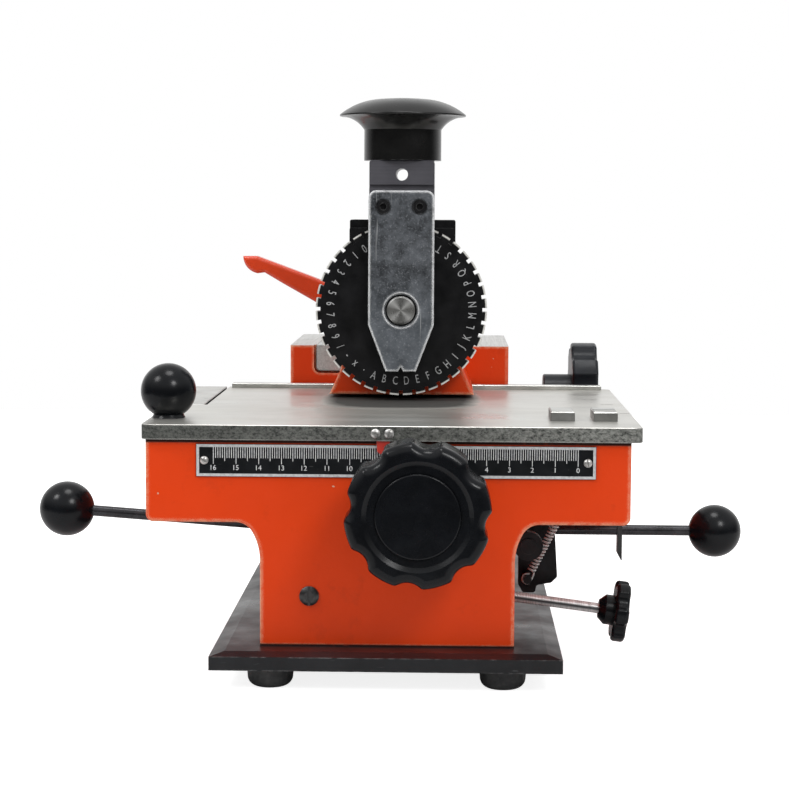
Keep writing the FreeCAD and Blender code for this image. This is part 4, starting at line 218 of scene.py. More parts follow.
class Finish:
    """A material under construction, with short ways to add and join its nodes."""

    def __init__(self, name, **values):
        self.material = bpy.data.materials.new(name)
        self.material.use_nodes = True
        self.nodes = self.material.node_tree.nodes
        self.links = self.material.node_tree.links
        self.shader = self.nodes["Principled BSDF"]
        self.height = None
        for socket, value in values.items():
            self.set(socket.replace("_", " "), value)

    def plug(self, socket, value):
        """Links a socket to another one, or gives it a constant."""
        if isinstance(value, bpy.types.NodeSocket):
            self.links.new(value, socket)
        elif hasattr(value, "__len__"):
            socket.default_value = (*value, 1.0)
        else:
            socket.default_value = value

    def set(self, socket, value):
        """A constant on the shader, or a link into it."""
        self.plug(self.shader.inputs[socket], value)

    def add(self, kind, constants=(), **values):
        """A new node with its own settings and the constants of its sockets."""
        node = self.nodes.new("ShaderNode" + kind)
        for name, value in values.items():
            setattr(node, name, value)
        for name, value in constants:
            node.inputs[name].default_value = value
        return node

    def place(self, stretch=(1, 1, 1), move=(0, 0, 0), turn=(0, 0, 0)):
        """The piece's own coordinates, in metres, moved, turned and stretched."""
        mapping = self.add("Mapping", (("Location", move), ("Rotation", turn), ("Scale", stretch)))
        self.links.new(self.add("TexCoord").outputs["Object"], mapping.inputs["Vector"])
        return mapping.outputs["Vector"]

    def around(self, name, axis="Y"):
        """Coordinates measured from the line along an axis through the middle of a node."""
        spans = zip("XYZ", zip(*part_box(name)))
        return self.place(move=[0.0 if letter == axis else -centre(span) for letter, span in spans])

    def noise(self, scale, detail, stretch=(1, 1, 1), rough=0.55, warp=0.0, move=(0, 0, 0),
              turn=(0, 0, 0)):
        """Noise on the piece's own coordinates."""
        node = self.add("TexNoise", (("Scale", scale), ("Detail", detail), ("Roughness", rough),
                                     ("Distortion", warp)))
        self.links.new(self.place(stretch, move, turn), node.inputs["Vector"])
        return node.outputs["Fac"]

    def scaled(self, value, low, high, new_low=0.0, new_high=1.0):
        """Part of a value's span, stretched to a new span and held inside it."""
        node = self.add("MapRange", (("From Min", low), ("From Max", high), ("To Min", new_low),
                                     ("To Max", new_high)), clamp=True)
        self.links.new(value, node.inputs["Value"])
        return node.outputs["Result"]

    def cloud(self, scale, detail, span=(0.3, 0.7), to=(0.0, 1.0), **more):
        """Noise, with part of its span stretched to a new one."""
        return self.scaled(self.noise(scale, detail, **more), *span, *to)

    def rings(self, spot, axis, scale, warp, detail):
        """Fine turned rings round an axis."""
        node = self.add("TexWave", (("Scale", scale), ("Distortion", warp), ("Detail", detail)),
                        wave_type="RINGS", rings_direction=axis)
        self.links.new(spot, node.inputs["Vector"])
        return node.outputs["Fac"]

    def math(self, how, a, b=0.0):
        """One step of arithmetic."""
        node = self.add("Math", operation=how)
        self.plug(node.inputs[0], a)
        self.plug(node.inputs[1], b)
        return node.outputs["Value"]

    def times(self, a, b):
        """The product of two values."""
        return self.math("MULTIPLY", a, b)

    def size(self, value):
        """A value without its sign."""
        return self.math("ABSOLUTE", value)

    def mix(self, share, a, b):
        """Two colours mixed by a share."""
        node = self.add("Mix", data_type="RGBA")
        for socket, value in ((0, share), (6, a), (7, b)):
            self.plug(node.inputs[socket], value)
        return node.outputs[2]

    def edge(self, radius, start=0.02, end=0.18):
        """1 at sharp outer and inner edges, 0 on open surfaces."""
        rounded = self.add("Bevel", [("Radius", radius)], samples=4)
        plain = self.add("NewGeometry")
        dot = self.add("VectorMath", operation="DOT_PRODUCT")
        self.links.new(rounded.outputs["Normal"], dot.inputs[0])
        self.links.new(plain.outputs["Normal"], dot.inputs[1])
        return self.scaled(self.math("SUBTRACT", 1.0, dot.outputs["Value"]), start, end)

    def bump(self, height, depth, strength=1.0):
        """Adds a height, in metres, to the surface."""
        node = self.add("Bump", (("Strength", strength), ("Distance", depth)))
        self.links.new(height, node.inputs["Height"])
        if self.height:
            self.links.new(self.height, node.inputs["Normal"])
        self.height = node.outputs["Normal"]
        self.links.new(self.height, self.shader.inputs["Normal"])

    def grain(self, scale, detail, depth, strength=1.0):
        """Small unevenness of the surface."""
        self.bump(self.noise(scale, detail), depth, strength)

    def matt(self, scale, detail, to):
        """Roughness that wanders in clouds between two values."""
        self.set("Roughness", self.cloud(scale, detail, to=to))

    def away(self, name):
        """Distance from the line along Y through the middle of a round node."""
        flat = self.add("VectorMath", operation="MULTIPLY")
        self.links.new(self.around(name), flat.inputs[0])
        flat.inputs[1].default_value = (1, 0, 1)
        node = self.add("VectorMath", operation="LENGTH")
        self.links.new(flat.outputs["Vector"], node.inputs[0])
        return node.outputs["Value"]

    def part(self, vector, axis):
        """A vector's part along X, Y or Z."""
        node = self.add("SeparateXYZ")
        self.links.new(vector, node.inputs[0])
        return node.outputs[axis]

    def along(self, axis, *spans):
        """How far a point lies along an axis of the piece."""
        return self.scaled(self.part(self.place(), axis), *spans)

    def flat(self, *spans):
        """How level a face lies, facing up or down."""
        upward = self.part(self.add("NewGeometry").outputs["Normal"], "Z")
        return self.scaled(self.size(upward), *spans)


def shade(colour, share):
    """A colour made darker or lighter."""
    return tuple(min(1.0, share * part) for part in colour)


def casting_paint(colours, name="casting_paint", machined_from=None, seam_shadows=()):
    """Orange paint on cast metal, rubbed pale along the edges with a painted glint there, with a few chips.
    """
    paint = Finish(name, Specular_IOR_Level=0.15, Coat_Weight=0.02, Coat_Roughness=0.15)
    tone = paint.cloud(14, 4)
    colour = paint.mix(tone, shade(colours.orange, 0.9), colours.orange)
    grime = paint.cloud(60, 6, (0.60, 0.80), (0.0, 0.25), rough=0.7)
    colour = paint.mix(grime, colour, (0.20, 0.025, 0.008))
    # Pale lines along the rounded edges: rubbed paint, and a painted glint on the rounding
    thin = paint.times(paint.edge(0.0024, 0.015, 0.06),
                       paint.cloud(420, 5, (0.38, 0.56), (0.3, 0.9), rough=0.65))
    colour = paint.mix(thin, colour, colours.orange_pale)
    bare = paint.times(paint.edge(0.0012, 0.05, 0.2), paint.cloud(130, 6, (0.58, 0.64), rough=0.7))
    colour = paint.mix(bare, colour, (0.62, 0.60, 0.58))
    specks = paint.cloud(230, 2, (0.765, 0.78), move=(3.1, 0.4, 0.9))
    colour = paint.mix(specks, colour, (0.58, 0.36, 0.25))
    # Painted shade in bands along the seams with the pieces above and below: under the table and over the
    # base
    for at, fade in seam_shadows:
        shadow_share = paint.times(paint.along("Z", at, at + fade), paint.cloud(210, 4, (0.2, 0.4), (0.8, 1.0)))
        colour = paint.mix(shadow_share, colour, (0.030, 0.010, 0.008))
    if machined_from is not None:
        # Flats that a plane has bared down to the metal
        bared = paint.times(paint.flat(0.9, 0.97), paint.along("Z", machined_from - 0.0002, machined_from))
        lines = paint.cloud(1100, 3, stretch=(1, 0.02, 1))
        colour = paint.mix(bared, colour, paint.mix(lines, (0.42, 0.42, 0.40), (0.66, 0.65, 0.63)))
        paint.set("Metallic", bared)
    paint.set("Base Color", colour)
    paint.matt(75, 5, (0.28, 0.44))
    paint.grain(900, 2, 0.00006)
    paint.grain(85, 3, 0.0004, 0.5)
    paint.bump(specks, 0.0001, -1.0)
    paint.bump(bare, 0.0001, -1.0)
    return paint.material


def lever_paint(colours):
    """The clamping lever's smoother orange coat."""
    paint = Finish("lever_paint", Roughness=0.27, Coat_Weight=0.35, Coat_Roughness=0.1)
    tone = paint.cloud(40, 3)
    colour = paint.mix(tone, shade(colours.orange, 0.9), shade(colours.orange, 1.06))
    rub = paint.times(paint.edge(0.0006), paint.cloud(600, 4, (0.5, 0.65)))
    paint.set("Base Color", paint.mix(rub, colour, colours.orange_pale))
    paint.grain(1100, 2, 0.00003)
    return paint.material


def base_paint(colours):
    """Satin black paint of the base, rubbed grey on its bevels."""
    paint = Finish("base_paint", Specular_IOR_Level=0.3)
    cloud = paint.cloud(26, 6, (0.35, 0.75), rough=0.7)
    colour = paint.mix(cloud, shade(colours.black, 0.45), shade(colours.black, 1.5))
    scratch = paint.cloud(110, 4, (0.66, 0.72), (0.0, 0.5), stretch=(1, 9, 9), warp=0.5)
    colour = paint.mix(scratch, colour, (0.075, 0.078, 0.08))
    rub = paint.times(paint.edge(0.001), paint.cloud(300, 5, (0.42, 0.62)))
    paint.set("Base Color", paint.mix(rub, colour, (0.15, 0.15, 0.15)))
    paint.matt(40, 6, (0.24, 0.46))
    paint.grain(800, 2, 0.00005)
    paint.bump(scratch, 0.00005, -0.6)
    return paint.material


def foot_rubber(colours):
    """Dusty black rubber."""
    rubber = Finish("foot_rubber")
    dust = rubber.cloud(180, 5, (0.45, 0.75))
    rubber.set("Base Color", rubber.mix(dust, colours.rubber, (0.04, 0.04, 0.038)))
    rubber.matt(500, 3, (0.45, 0.7))
    rubber.grain(1500, 2, 0.00008)
    return rubber.material


def table_steel(colours):
    """Ground steel with long grinding lines, stains and a darker, mottled rim; some shade and highlight are
    painted in.
    """
    low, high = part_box("table_plate")
    steel = Finish("table_steel")
    lines = steel.noise(1500, 3, stretch=(0.012, 1, 1), rough=0.6)
    stain = steel.cloud(22, 6, (0.45, 0.72), (0.0, 0.45), rough=0.72, warp=0.6)
    colour = steel.mix(steel.scaled(lines, 0.3, 0.7), shade(colours.bright, 0.84), colours.bright)
    colour = steel.mix(stain, colour, (0.42, 0.415, 0.385))
    spots = steel.cloud(330, 4, (0.66, 0.74), (0.0, 0.8), rough=0.7)
    colour = steel.mix(spots, colour, (0.16, 0.16, 0.15))
    # Painted shadow and dark reflection of the head on the table, deep close to it and faint in front
    head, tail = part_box("head_bracket")
    spot = steel.place(move=(-centre((head.x, tail.x)), -head.y, 0.0))
    ragged = steel.times(steel.noise(70, 6, rough=0.62), 0.5)

    def blot(reach):
        """How far the painted shadow reaches: 0 at the foot of the head, about 1 at its half width or
        reach.
        """
        spans = zip("XY", (SHADOW_HALF, reach))
        aside, ahead = [steel.math("POWER", steel.size(steel.math("DIVIDE", steel.part(spot, axis), span)),
                                   SHADOW_SQUARE) for axis, span in spans]
        return steel.math("ADD", steel.math("ADD", aside, ahead), ragged)

    # thick is the deep painted shadow close to the head, thin the faint painted shade in front of it
    thick = steel.scaled(blot(SHADOW_NEAR_REACH), 1.5, 0.8)
    thin = steel.scaled(blot(SHADOW_FAR_REACH), 1.8, 0.8, 0.0, 0.42)
    colour = steel.mix(thin, colour, (0.10, 0.080, 0.062))
    colour = steel.mix(steel.times(thick, 0.94), colour, (0.014, 0.013, 0.011))
    # Upright faces were never ground and stay dark and mottled; their colour is painted lighter towards the
    # right end, as painted light falling there
    upright = steel.flat(*UPRIGHT)
    mottle = steel.cloud(800, 5, (0.36, 0.60), stretch=(0.7, 1, 1), rough=0.8)
    rim = steel.mix(steel.along("X", low.x, high.x), (0.19, 0.196, 0.18), (0.40, 0.405, 0.375))
    colour = steel.mix(upright, colour, steel.mix(mottle, (0.055, 0.059, 0.055), rim))
    # The gap round the corner insert is painted black, as painted shade in the gap
    gap_from, gap_to, gap_left = low.y + 0.004, high.y - 0.0006, low.x + 0.0008
    gap = upright
    for axis, at, fade in (("Y", gap_from, 0.002), ("Y", gap_to, -0.001), ("X", gap_left, 0.0005)):
        gap = steel.times(gap, steel.along(axis, at, at + fade))
    colour = steel.mix(gap, colour, (0.008, 0.008, 0.007))
    # Pale edges: rubbed steel, and a painted highlight along the edges of the front face
    worn = steel.times(steel.edge(0.0010), steel.cloud(150, 4, (0.3, 0.5), (0.2, 1.0)))
    steel.set("Base Color", steel.mix(worn, colour, (0.66, 0.65, 0.62)))
    rough = steel.cloud(34, 6, to=(0.24, 0.44), stretch=(0.25, 1, 1), rough=0.65)
    rough = steel.math("ADD", rough, steel.times(upright, 0.16))
    # Where the shadow is painted, the steel is also made rougher and less metallic
    head_shadow_mask = steel.math("ADD", thick, steel.times(thin, 0.3))
    steel.set("Roughness", steel.math("ADD", rough, steel.times(head_shadow_mask, 0.7)))
    steel.set("Metallic", steel.scaled(head_shadow_mask, 0.0, 1.0, 0.78, 0.0))
    steel.bump(lines, 0.00002, 0.7)
    steel.grain(55, 4, 0.00015, 0.4)
    return steel.material


def insert_steel(name, flank):
    """The small pieces on the table: paler and duller than it, with flanks of their own."""
    steel = Finish(name, Metallic=0.85)
    cloud = steel.cloud(45, 5, (0.35, 0.7), rough=0.7)
    colour = steel.mix(cloud, (0.60, 0.60, 0.575), (0.44, 0.44, 0.42))
    spots = steel.cloud(260, 4, (0.66, 0.72), (0.0, 0.7))
    colour = steel.mix(spots, colour, (0.17, 0.17, 0.16))
    # Upright flanks take their own colour; the corner insert's near-black flanks are painted shade of the
    # gap round it
    colour = steel.mix(steel.flat(*UPRIGHT), colour, steel.mix(cloud, flank, shade(flank, 0.5)))
    # Dark lines along the edges: painted shade of the gaps round these pieces
    steel.set("Base Color", steel.mix(steel.edge(0.0006), colour, (0.05, 0.05, 0.048)))
    steel.matt(60, 5, (0.3, 0.5))
    steel.bump(steel.noise(1300, 2, stretch=(1, 0.02, 1)), 0.00002, 0.7)
    return steel.material


def slide_steel():
    """Pale planed steel of the bar that the head slides on, with painted shade along its edges."""
    steel = Finish("slide_steel", Metallic=0.1)
    lines = steel.cloud(1300, 3, stretch=(1, 0.02, 1))
    colour = steel.mix(lines, (0.34, 0.385, 0.375), (0.50, 0.55, 0.535))
    spots = steel.cloud(240, 5, (0.62, 0.74), (0.0, 0.6), rough=0.7)
    colour = steel.mix(spots, colour, (0.20, 0.20, 0.20))
    # Dark lines along the edges: painted shade of the gap round the bar in its channel
    steel.set("Base Color", steel.mix(steel.edge(0.0009, 0.02, 0.1), colour, (0.03, 0.03, 0.03)))
    steel.matt(90, 5, (0.3, 0.48))
    steel.bump(lines, 0.00002, 0.6)
    return steel.material


def plate_steel(colours):
    """Blue-grey front plate with fine scratches and mottling, painted highlight on its edges and painted
    shade in its hollows.
    """
    steel = Finish("plate_steel", Specular_IOR_Level=0.35)
    spot = steel.around("plate_screws")
    cloud = steel.cloud(60, 7, (0.38, 0.66), rough=0.78)
    colour = steel.mix(cloud, shade(colours.dull, 0.28), shade(colours.dull, 1.15))
    # The upper part is browner, the part round the axle cleaner
    clean = steel.scaled(steel.part(spot, "Z"), -0.030, -0.062)
    colour = steel.mix(steel.times(clean, 0.42), colour, (0.20, 0.225, 0.255))
    flecks = steel.cloud(1100, 5, (0.56, 0.66), (0.0, 0.6), rough=0.75)
    colour = steel.mix(flecks, colour, (0.36, 0.38, 0.41))
    for turn in (0.5, -0.9):
        lines = steel.noise(300, 3, stretch=(1, 1, 0.04), warp=0.2, turn=(0, turn, 0))
        colour = steel.mix(steel.scaled(lines, 0.70, 0.73, 0.0, 0.75), colour, (0.55, 0.56, 0.57))
    # Edges painted near white, a painted highlight on the chamfers and partly rubbed steel, but not at the
    # sinks of the screws
    aside, tall = [steel.size(steel.part(spot, axis)) for axis in "XZ"]
    sinks = steel.times(steel.scaled(aside, SINK_REACH, SINK_REACH - 0.0003),
                        steel.scaled(tall, SINK_HIGH, SINK_HIGH - 0.0004))
    rubbed = steel.times(steel.edge(0.0016, 0.005, 0.045), steel.cloud(240, 4, (0.2, 0.45), (0.35, 1.0)))
    worn = steel.times(rubbed, steel.math("SUBTRACT", 1.0, sinks))
    colour = steel.mix(worn, colour, (0.93, 0.94, 0.95))
    # The edges of the screw sinks are painted dark: painted shade in the countersinks
    sunk = steel.times(sinks, steel.edge(0.0013, 0.01, 0.07))
    colour = steel.mix(sunk, colour, (0.012, 0.013, 0.014))
    # The bevel round the axle is painted black inside as painted shade, and its rim is painted bright with
    # the edges above
    bevel = steel.scaled(steel.away("wheel_axle"), BEVEL_REACH, BEVEL_REACH - 0.0003)
    steel.set("Base Color", steel.mix(bevel, colour, (0.010, 0.011, 0.012)))
    steel.set("Metallic", steel.scaled(worn, 0.0, 1.0, 0.55, 0.2))
    steel.matt(120, 5, (0.34, 0.56))
    steel.bump(flecks, 0.00003, 0.8)
    steel.bump(cloud, 0.00004, 0.5)
    return steel.material


def ram_steel(colours):
    """Dark ground steel of the ram."""
    steel = Finish("ram_steel", Metallic=0.35, Specular_IOR_Level=0.4)
    lines = steel.noise(1200, 3, stretch=(0.02, 0.02, 1))
    colour = steel.mix(steel.scaled(lines, 0.3, 0.7), shade(colours.dark, 0.93), shade(colours.dark, 1.07))
    colour = steel.mix(steel.cloud(60, 5, (0.45, 0.75), (0.0, 0.6)), colour, shade(colours.dark, 1.35))
    worn = steel.times(steel.edge(0.0005), steel.cloud(300, 3, (0.35, 0.55)))
    steel.set("Base Color", steel.mix(worn, colour, (0.03, 0.03, 0.032)))
    steel.matt(80, 5, (0.3, 0.45))
    steel.bump(lines, 0.00001, 0.3)
    return steel.material


def black_oxide(colours, name="black_oxide", rough=(0.3, 0.5), wear=0.6, tint=1.0):
    """Blackened steel: guide block, screws and small parts."""
    steel = Finish(name, Metallic=0.55)
    cloud = steel.cloud(120, 5, (0.35, 0.75), rough=0.65)
    low, high = shade(colours.oxide, tint), shade(colours.oxide, 2.4 * tint)
    colour = steel.mix(cloud, low, high)
    worn = steel.times(steel.edge(0.0004), steel.cloud(420, 4, (0.4, 0.6), (0.0, wear)))
    steel.set("Base Color", steel.mix(worn, colour, (0.36, 0.36, 0.36)))
    steel.matt(200, 4, rough)
    steel.grain(900, 3, 0.00002, 0.8)
    return steel.material


def wheel_steel(colours):
    """Black type wheel whose type tips are bright from use."""
    low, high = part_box("type_wheel")
    radius = (high.x - low.x) / 2
    steel = Finish("wheel_steel")
    cloud = steel.cloud(90, 5, (0.35, 0.75))
    colour = steel.mix(cloud, shade(colours.oxide, 0.8), shade(colours.oxide, 1.8))
    rings = steel.rings(steel.around("type_wheel"), "Y", 380.0, 1.5, 2.0)
    tips = steel.scaled(steel.away("type_wheel"), radius - 0.0010, radius - 0.0006)
    bright = steel.times(tips, steel.cloud(500, 3, (0.25, 0.45), (0.45, 1.0)))
    worn = steel.times(steel.edge(0.0003, 0.05, 0.3), 0.3)
    colour = steel.mix(worn, colour, (0.32, 0.32, 0.31))
    steel.set("Base Color", steel.mix(bright, colour, (0.76, 0.75, 0.71)))
    steel.set("Metallic", steel.scaled(bright, 0.0, 1.0, 0.6, 0.3))
    steel.matt(150, 4, (0.32, 0.5))
    steel.bump(rings, 0.00001, 0.5)
    return steel.material


def knob_plastic(colours, name="knob_plastic", rough=(0.19, 0.30), tint=1.0):
    """Polished black plastic of the balls and star knobs, with light handling marks."""
    plastic = Finish(name, Specular_IOR_Level=0.21)
    cloud = plastic.cloud(90, 4, (0.35, 0.7))
    low, high = shade(colours.plastic, tint), shade(colours.plastic, 1.7 * tint)
    plastic.set("Base Color", plastic.mix(cloud, low, high))
    rub = plastic.noise(260, 5, rough=0.7, warp=0.4)
    plastic.set("Roughness", plastic.scaled(rub, 0.35, 0.75, *rough))
    plastic.grain(70, 2, 0.00008, 0.25)
    plastic.grain(1800, 2, 0.00001, 0.5)
    return plastic.material


def mushroom_black():
    """Satin grey-black of the striking knob, with turned lines round it."""
    steel = Finish("mushroom_black", Specular_IOR_Level=0.36)
    rings = steel.rings(steel.around("mushroom_knob", "Z"), "Z", 300.0, 0.8, 2.0)
    cloud = steel.cloud(60, 4, (0.35, 0.7))
    colour = steel.mix(cloud, (0.004, 0.004, 0.004), (0.010, 0.0098, 0.0095))
    worn = steel.times(steel.edge(0.0006, 0.05, 0.3), steel.cloud(200, 3, (0.4, 0.6)))
    steel.set("Base Color", steel.mix(worn, colour, (0.13, 0.13, 0.13)))
    steel.matt(110, 4, (0.19, 0.28))
    steel.bump(rings, 0.00001, 0.4)
    return steel.material


def bright_rod(name="bright_rod", tone=(0.62, 0.62, 0.61), rough=(0.14, 0.3), along=(0.05, 1, 1),
               metallic=1.0):
    """Drawn or turned bright steel."""
    steel = Finish(name, Metallic=metallic)
    lines = steel.noise(900, 3, stretch=along)
    colour = steel.mix(steel.scaled(lines, 0.3, 0.7), shade(tone, 0.7), tone)
    spots = steel.cloud(420, 4, (0.64, 0.72), (0.0, 0.6), rough=0.7)
    steel.set("Base Color", steel.mix(spots, colour, shade(tone, 0.35)))
    steel.matt(300, 3, rough)
    steel.bump(lines, 0.00002, 0.5)
    return steel.material


def screw_rod():
    """Bright threaded rod, painted dark on its front and back faces and pale on its top and bottom."""
    steel = Finish("screw_rod", Metallic=0.35)
    # Faces that look front or back are painted dark and level faces pale: painted shade and painted
    # highlight
    side = steel.flat(0.12, 0.5)
    thread = steel.cloud(1400, 2, (0.35, 0.65), stretch=(1, 0.1, 0.1))
    pale = steel.mix(thread, (0.55, 0.56, 0.56), (0.80, 0.81, 0.81))
    steel.set("Base Color", steel.mix(side, (0.05, 0.052, 0.055), pale))
    steel.matt(300, 3, (0.24, 0.4))
    steel.bump(thread, 0.00003, 0.6)
    return steel.material


def pin_steel():
    """Turned end of the axle: turned rings with four rays of painted highlight across them."""
    steel = Finish("pin_steel", Metallic=0.6, Anisotropic=0.6)
    spot = steel.around("wheel_axle")
    rings = steel.rings(spot, "Y", 900.0, 0.6, 1.0)
    colour = steel.mix(rings, (0.13, 0.13, 0.125), (0.28, 0.28, 0.27))
    # Four rays of painted highlight across the turned rings
    square = [steel.times(steel.part(spot, axis), steel.part(spot, axis)) for axis in "XZ"]
    whole = steel.math("ADD", steel.math("ADD", *square), NOT_NOTHING)
    ray = steel.size(steel.math("DIVIDE", steel.math("SUBTRACT", *square), whole))
    colour = steel.mix(steel.scaled(ray, 0.15, 0.95), (0.50, 0.50, 0.49), colour)
    # Dark edges: painted shade of the gap round the pin
    steel.set("Base Color", steel.mix(steel.edge(0.0004), colour, (0.06, 0.06, 0.06)))
    steel.matt(300, 3, (0.22, 0.38))
    tangent = steel.add("Tangent", direction_type="RADIAL", axis="Y")
    steel.links.new(tangent.outputs["Tangent"], steel.shader.inputs["Tangent"])
    steel.bump(rings, 0.00001, 0.6)
    return steel.material


def ruler_black():
    """Anodised black of the ruler."""
    plate = Finish("ruler_black", Specular_IOR_Level=0.16)
    cloud = plate.cloud(150, 5, (0.35, 0.75))
    colour = plate.mix(cloud, (0.005, 0.006, 0.007), (0.011, 0.012, 0.014))
    scratch = plate.cloud(200, 3, (0.68, 0.71), (0.0, 0.4), stretch=(1, 1, 8), warp=0.4)
    plate.set("Base Color", plate.mix(scratch, colour, (0.12, 0.12, 0.12)))
    plate.matt(220, 4, (0.3, 0.48))
    plate.grain(1500, 2, 0.00001, 0.6)
    return plate.material


def mark_white(colours, name="mark_white", share=1.0):
    """White print of the ruler and filling of the wheel's characters, thin in places."""
    paint = Finish(name)
    wear = paint.cloud(900, 4, (0.40, 0.72), rough=0.7)
    pale = shade(colours.mark, share)
    paint.set("Base Color", paint.mix(wear, pale, shade(pale, 0.5)))
    paint.matt(700, 2, (0.4, 0.6))
    paint.grain(2500, 2, 0.00001, 0.6)
    return paint.material


def pointer_red(colours):
    """Red paint, worn along the pointer's edges."""
    paint = Finish("pointer_red")
    tone = paint.cloud(300, 4, (0.35, 0.7))
    colour = paint.mix(tone, colours.red, shade(colours.red, 0.75))
    worn = paint.times(paint.edge(0.0003), paint.cloud(900, 3, (0.45, 0.6)))
    paint.set("Base Color", paint.mix(worn, colour, (0.65, 0.45, 0.42)))
    paint.matt(500, 3, (0.28, 0.45))
    paint.grain(1600, 2, 0.00002, 0.6)
    return paint.material


def bush_bronze(colours):
    """Bearing bronze, darkened in clouds."""
    metal = Finish("bush_bronze", Metallic=1.0)
    cloud = metal.cloud(160, 5, (0.35, 0.7))
    metal.set("Base Color", metal.mix(cloud, colours.bronze, shade(colours.bronze, 0.55)))
    metal.matt(300, 4, (0.25, 0.45))
    metal.grain(1200, 2, 0.00002, 0.6)
    return metal.material


# Operators, one for each piece or group of like pieces

def give(material, slot, *names):
    """A CAD node gets its finish in all its material slots."""
    for name in names:
        node = NODES[name]
        if not node.data.materials:
            node.data.materials.append(material)
        for i in range(len(node.data.materials)):
            node.data.materials[i] = material


class MARKER_OT_castings(Operator):
    """Paints the castings, the base and its feet"""
    bl_idname = "marker.castings"
    bl_label = "Castings and base"

    def execute(self, context):
        colours = settings()[1]
        low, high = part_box("pedestal")
        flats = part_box("rear_column")[1].z - FLATS_DEEP
        # Painted shade in bands under the table and over the base
        seam_shadows = ((high.z - SEAM_SHADE_HIGH, 0.4 * SEAM_SHADE_HIGH), (low.z + SEAM_SHADE_LOW, -0.6 * SEAM_SHADE_LOW))
        give(casting_paint(colours, "pedestal_paint", None, seam_shadows), "orange_paint", "pedestal")
        give(casting_paint(colours), "orange_paint", "head_bracket")
        give(casting_paint(colours, "column_paint", flats), "orange_paint", "rear_column")
        give(lever_paint(colours), "orange_paint", "clamp_lever")
        give(base_paint(colours), "black_paint", "base_plate")
        give(foot_rubber(colours), "rubber", "rubber_feet")
        return {"FINISHED"}


class MARKER_OT_table(Operator):
    """Finishes the table, its fence, stops and pointer"""
    bl_idname = "marker.table"
    bl_label = "Table"

    def execute(self, context):
        colours = settings()[1]
        give(table_steel(colours), "bright_steel", "table_plate")
        # Near-black flanks: painted shade in the gap round the insert
        give(insert_steel("insert_steel", (0.012, 0.012, 0.011)), "bright_steel", "corner_insert")
        give(insert_steel("stop_steel", (0.30, 0.30, 0.29)), "bright_steel", "stop_blocks")
        give(insert_steel("fence_steel", (0.62, 0.62, 0.58)), "bright_steel", "back_fence")
        give(slide_steel(), "bright_steel", "slide_bar")
        give(pointer_red(colours), "red_paint", "pointer")
        return {"FINISHED"}


class MARKER_OT_head(Operator):
    """Finishes the ram, its front plate, the wheel and the striking knob"""
    bl_idname = "marker.head"
    bl_label = "Head"

    def execute(self, context):
        colours = settings()[1]
        give(ram_steel(colours), "dark_steel", "ram_block")
        give(plate_steel(colours), "dark_steel", "front_plate")
        give(mushroom_black(), "black_oxide", "mushroom_knob")
        give(wheel_steel(colours), "black_oxide", "type_wheel")
        give(pin_steel(), "bright_steel", "wheel_axle")
        give(black_oxide(colours), "black_oxide", "guide_block", "gib_strips", "gib_screws", "plate_screws",
             "index_plunger")
        return {"FINISHED"}


class MARKER_OT_levers(Operator):
    """Finishes knobs, balls, levers, rods and the hidden drive"""
    bl_idname = "marker.levers"
    bl_label = "Knobs, levers and drive"

    def execute(self, context):
        colours = settings()[1]
        give(knob_plastic(colours), "black_plastic", "hand_knob", "knob_cap", "table_ball",
             "release_ball", "step_ball", "adjust_knob")
        # The rear knob's plastic is a three times lighter copy of the knob plastic, its lighter colour a
        # painted sheen
        give(knob_plastic(colours, "rear_plastic", (0.3, 0.42), 3.0), "black_plastic", "rear_star_knob")
        give(black_oxide(colours, "lever_black", (0.22, 0.34), 0.8, 2.6), "black_oxide", "release_rod",
             "step_rod", "release_arm", "lever_pin")
        give(black_oxide(colours, "hidden_black", (0.34, 0.5), 0.15), "black_oxide", "step_crank",
             "feed_arm", "rockshaft", "lever_bearings", "base_bolts", "spring_hanger")
        give(screw_rod(), "bright_steel", "adjust_screw")
        give(bright_rod(), "bright_steel", "guide_rods", "hand_shaft", "rear_shaft",
             "saddle", "ratchet_wheel", "carriage_rack", "carriage_pinion", "slide_rack", "slide_pinion")
        screw = bright_rod("screw_steel", (0.64, 0.63, 0.61), (0.26, 0.4), EVEN, 0.65)
        give(screw, "bright_steel", "ruler_screws", "pointer_screws")
        slotted = bright_rod("slotted_dark", (0.10, 0.10, 0.10), (0.3, 0.45), EVEN)
        give(slotted, "bright_steel", "slotted_screw", "rod_blade")
        give(bush_bronze(colours), "bronze", "front_bush", "saddle_bushes", "rear_bushes")
        return {"FINISHED"}


FACING_FRONT = Matrix.Rotation(math.pi / 2, 4, "X")
# A capital's height as a share of the type size
CAPITAL_SHARE = 0.7
LAST_CENTIMETRE = 16
MILLIMETRE = 0.001
# From the ruler's edges to its zero mark, its numbers and its border
ZERO_INSET = 0.0079
NUMBERS_LIFT = 0.0028
BORDER_INSET = 0.00015
# The marks start this many border widths below the top edge
MARKS_START = 1.05


def tick_row(name, count, step, first_x, top, long, face, thick, wide):
    """Equal marks in a row along the ruler."""
    clear_selection()
    bpy.ops.mesh.primitive_cube_add(size=1, location=(first_x, face - thick / 2, top - long / 2),
                                    scale=(wide, thick, long))
    row = bpy.context.object
    row.name = name
    bpy.ops.object.transform_apply()
    apply_modifier(row, "ARRAY", count=count, use_relative_offset=False, use_constant_offset=True,
                   constant_offset_displace=(step, 0, 0))
    return row


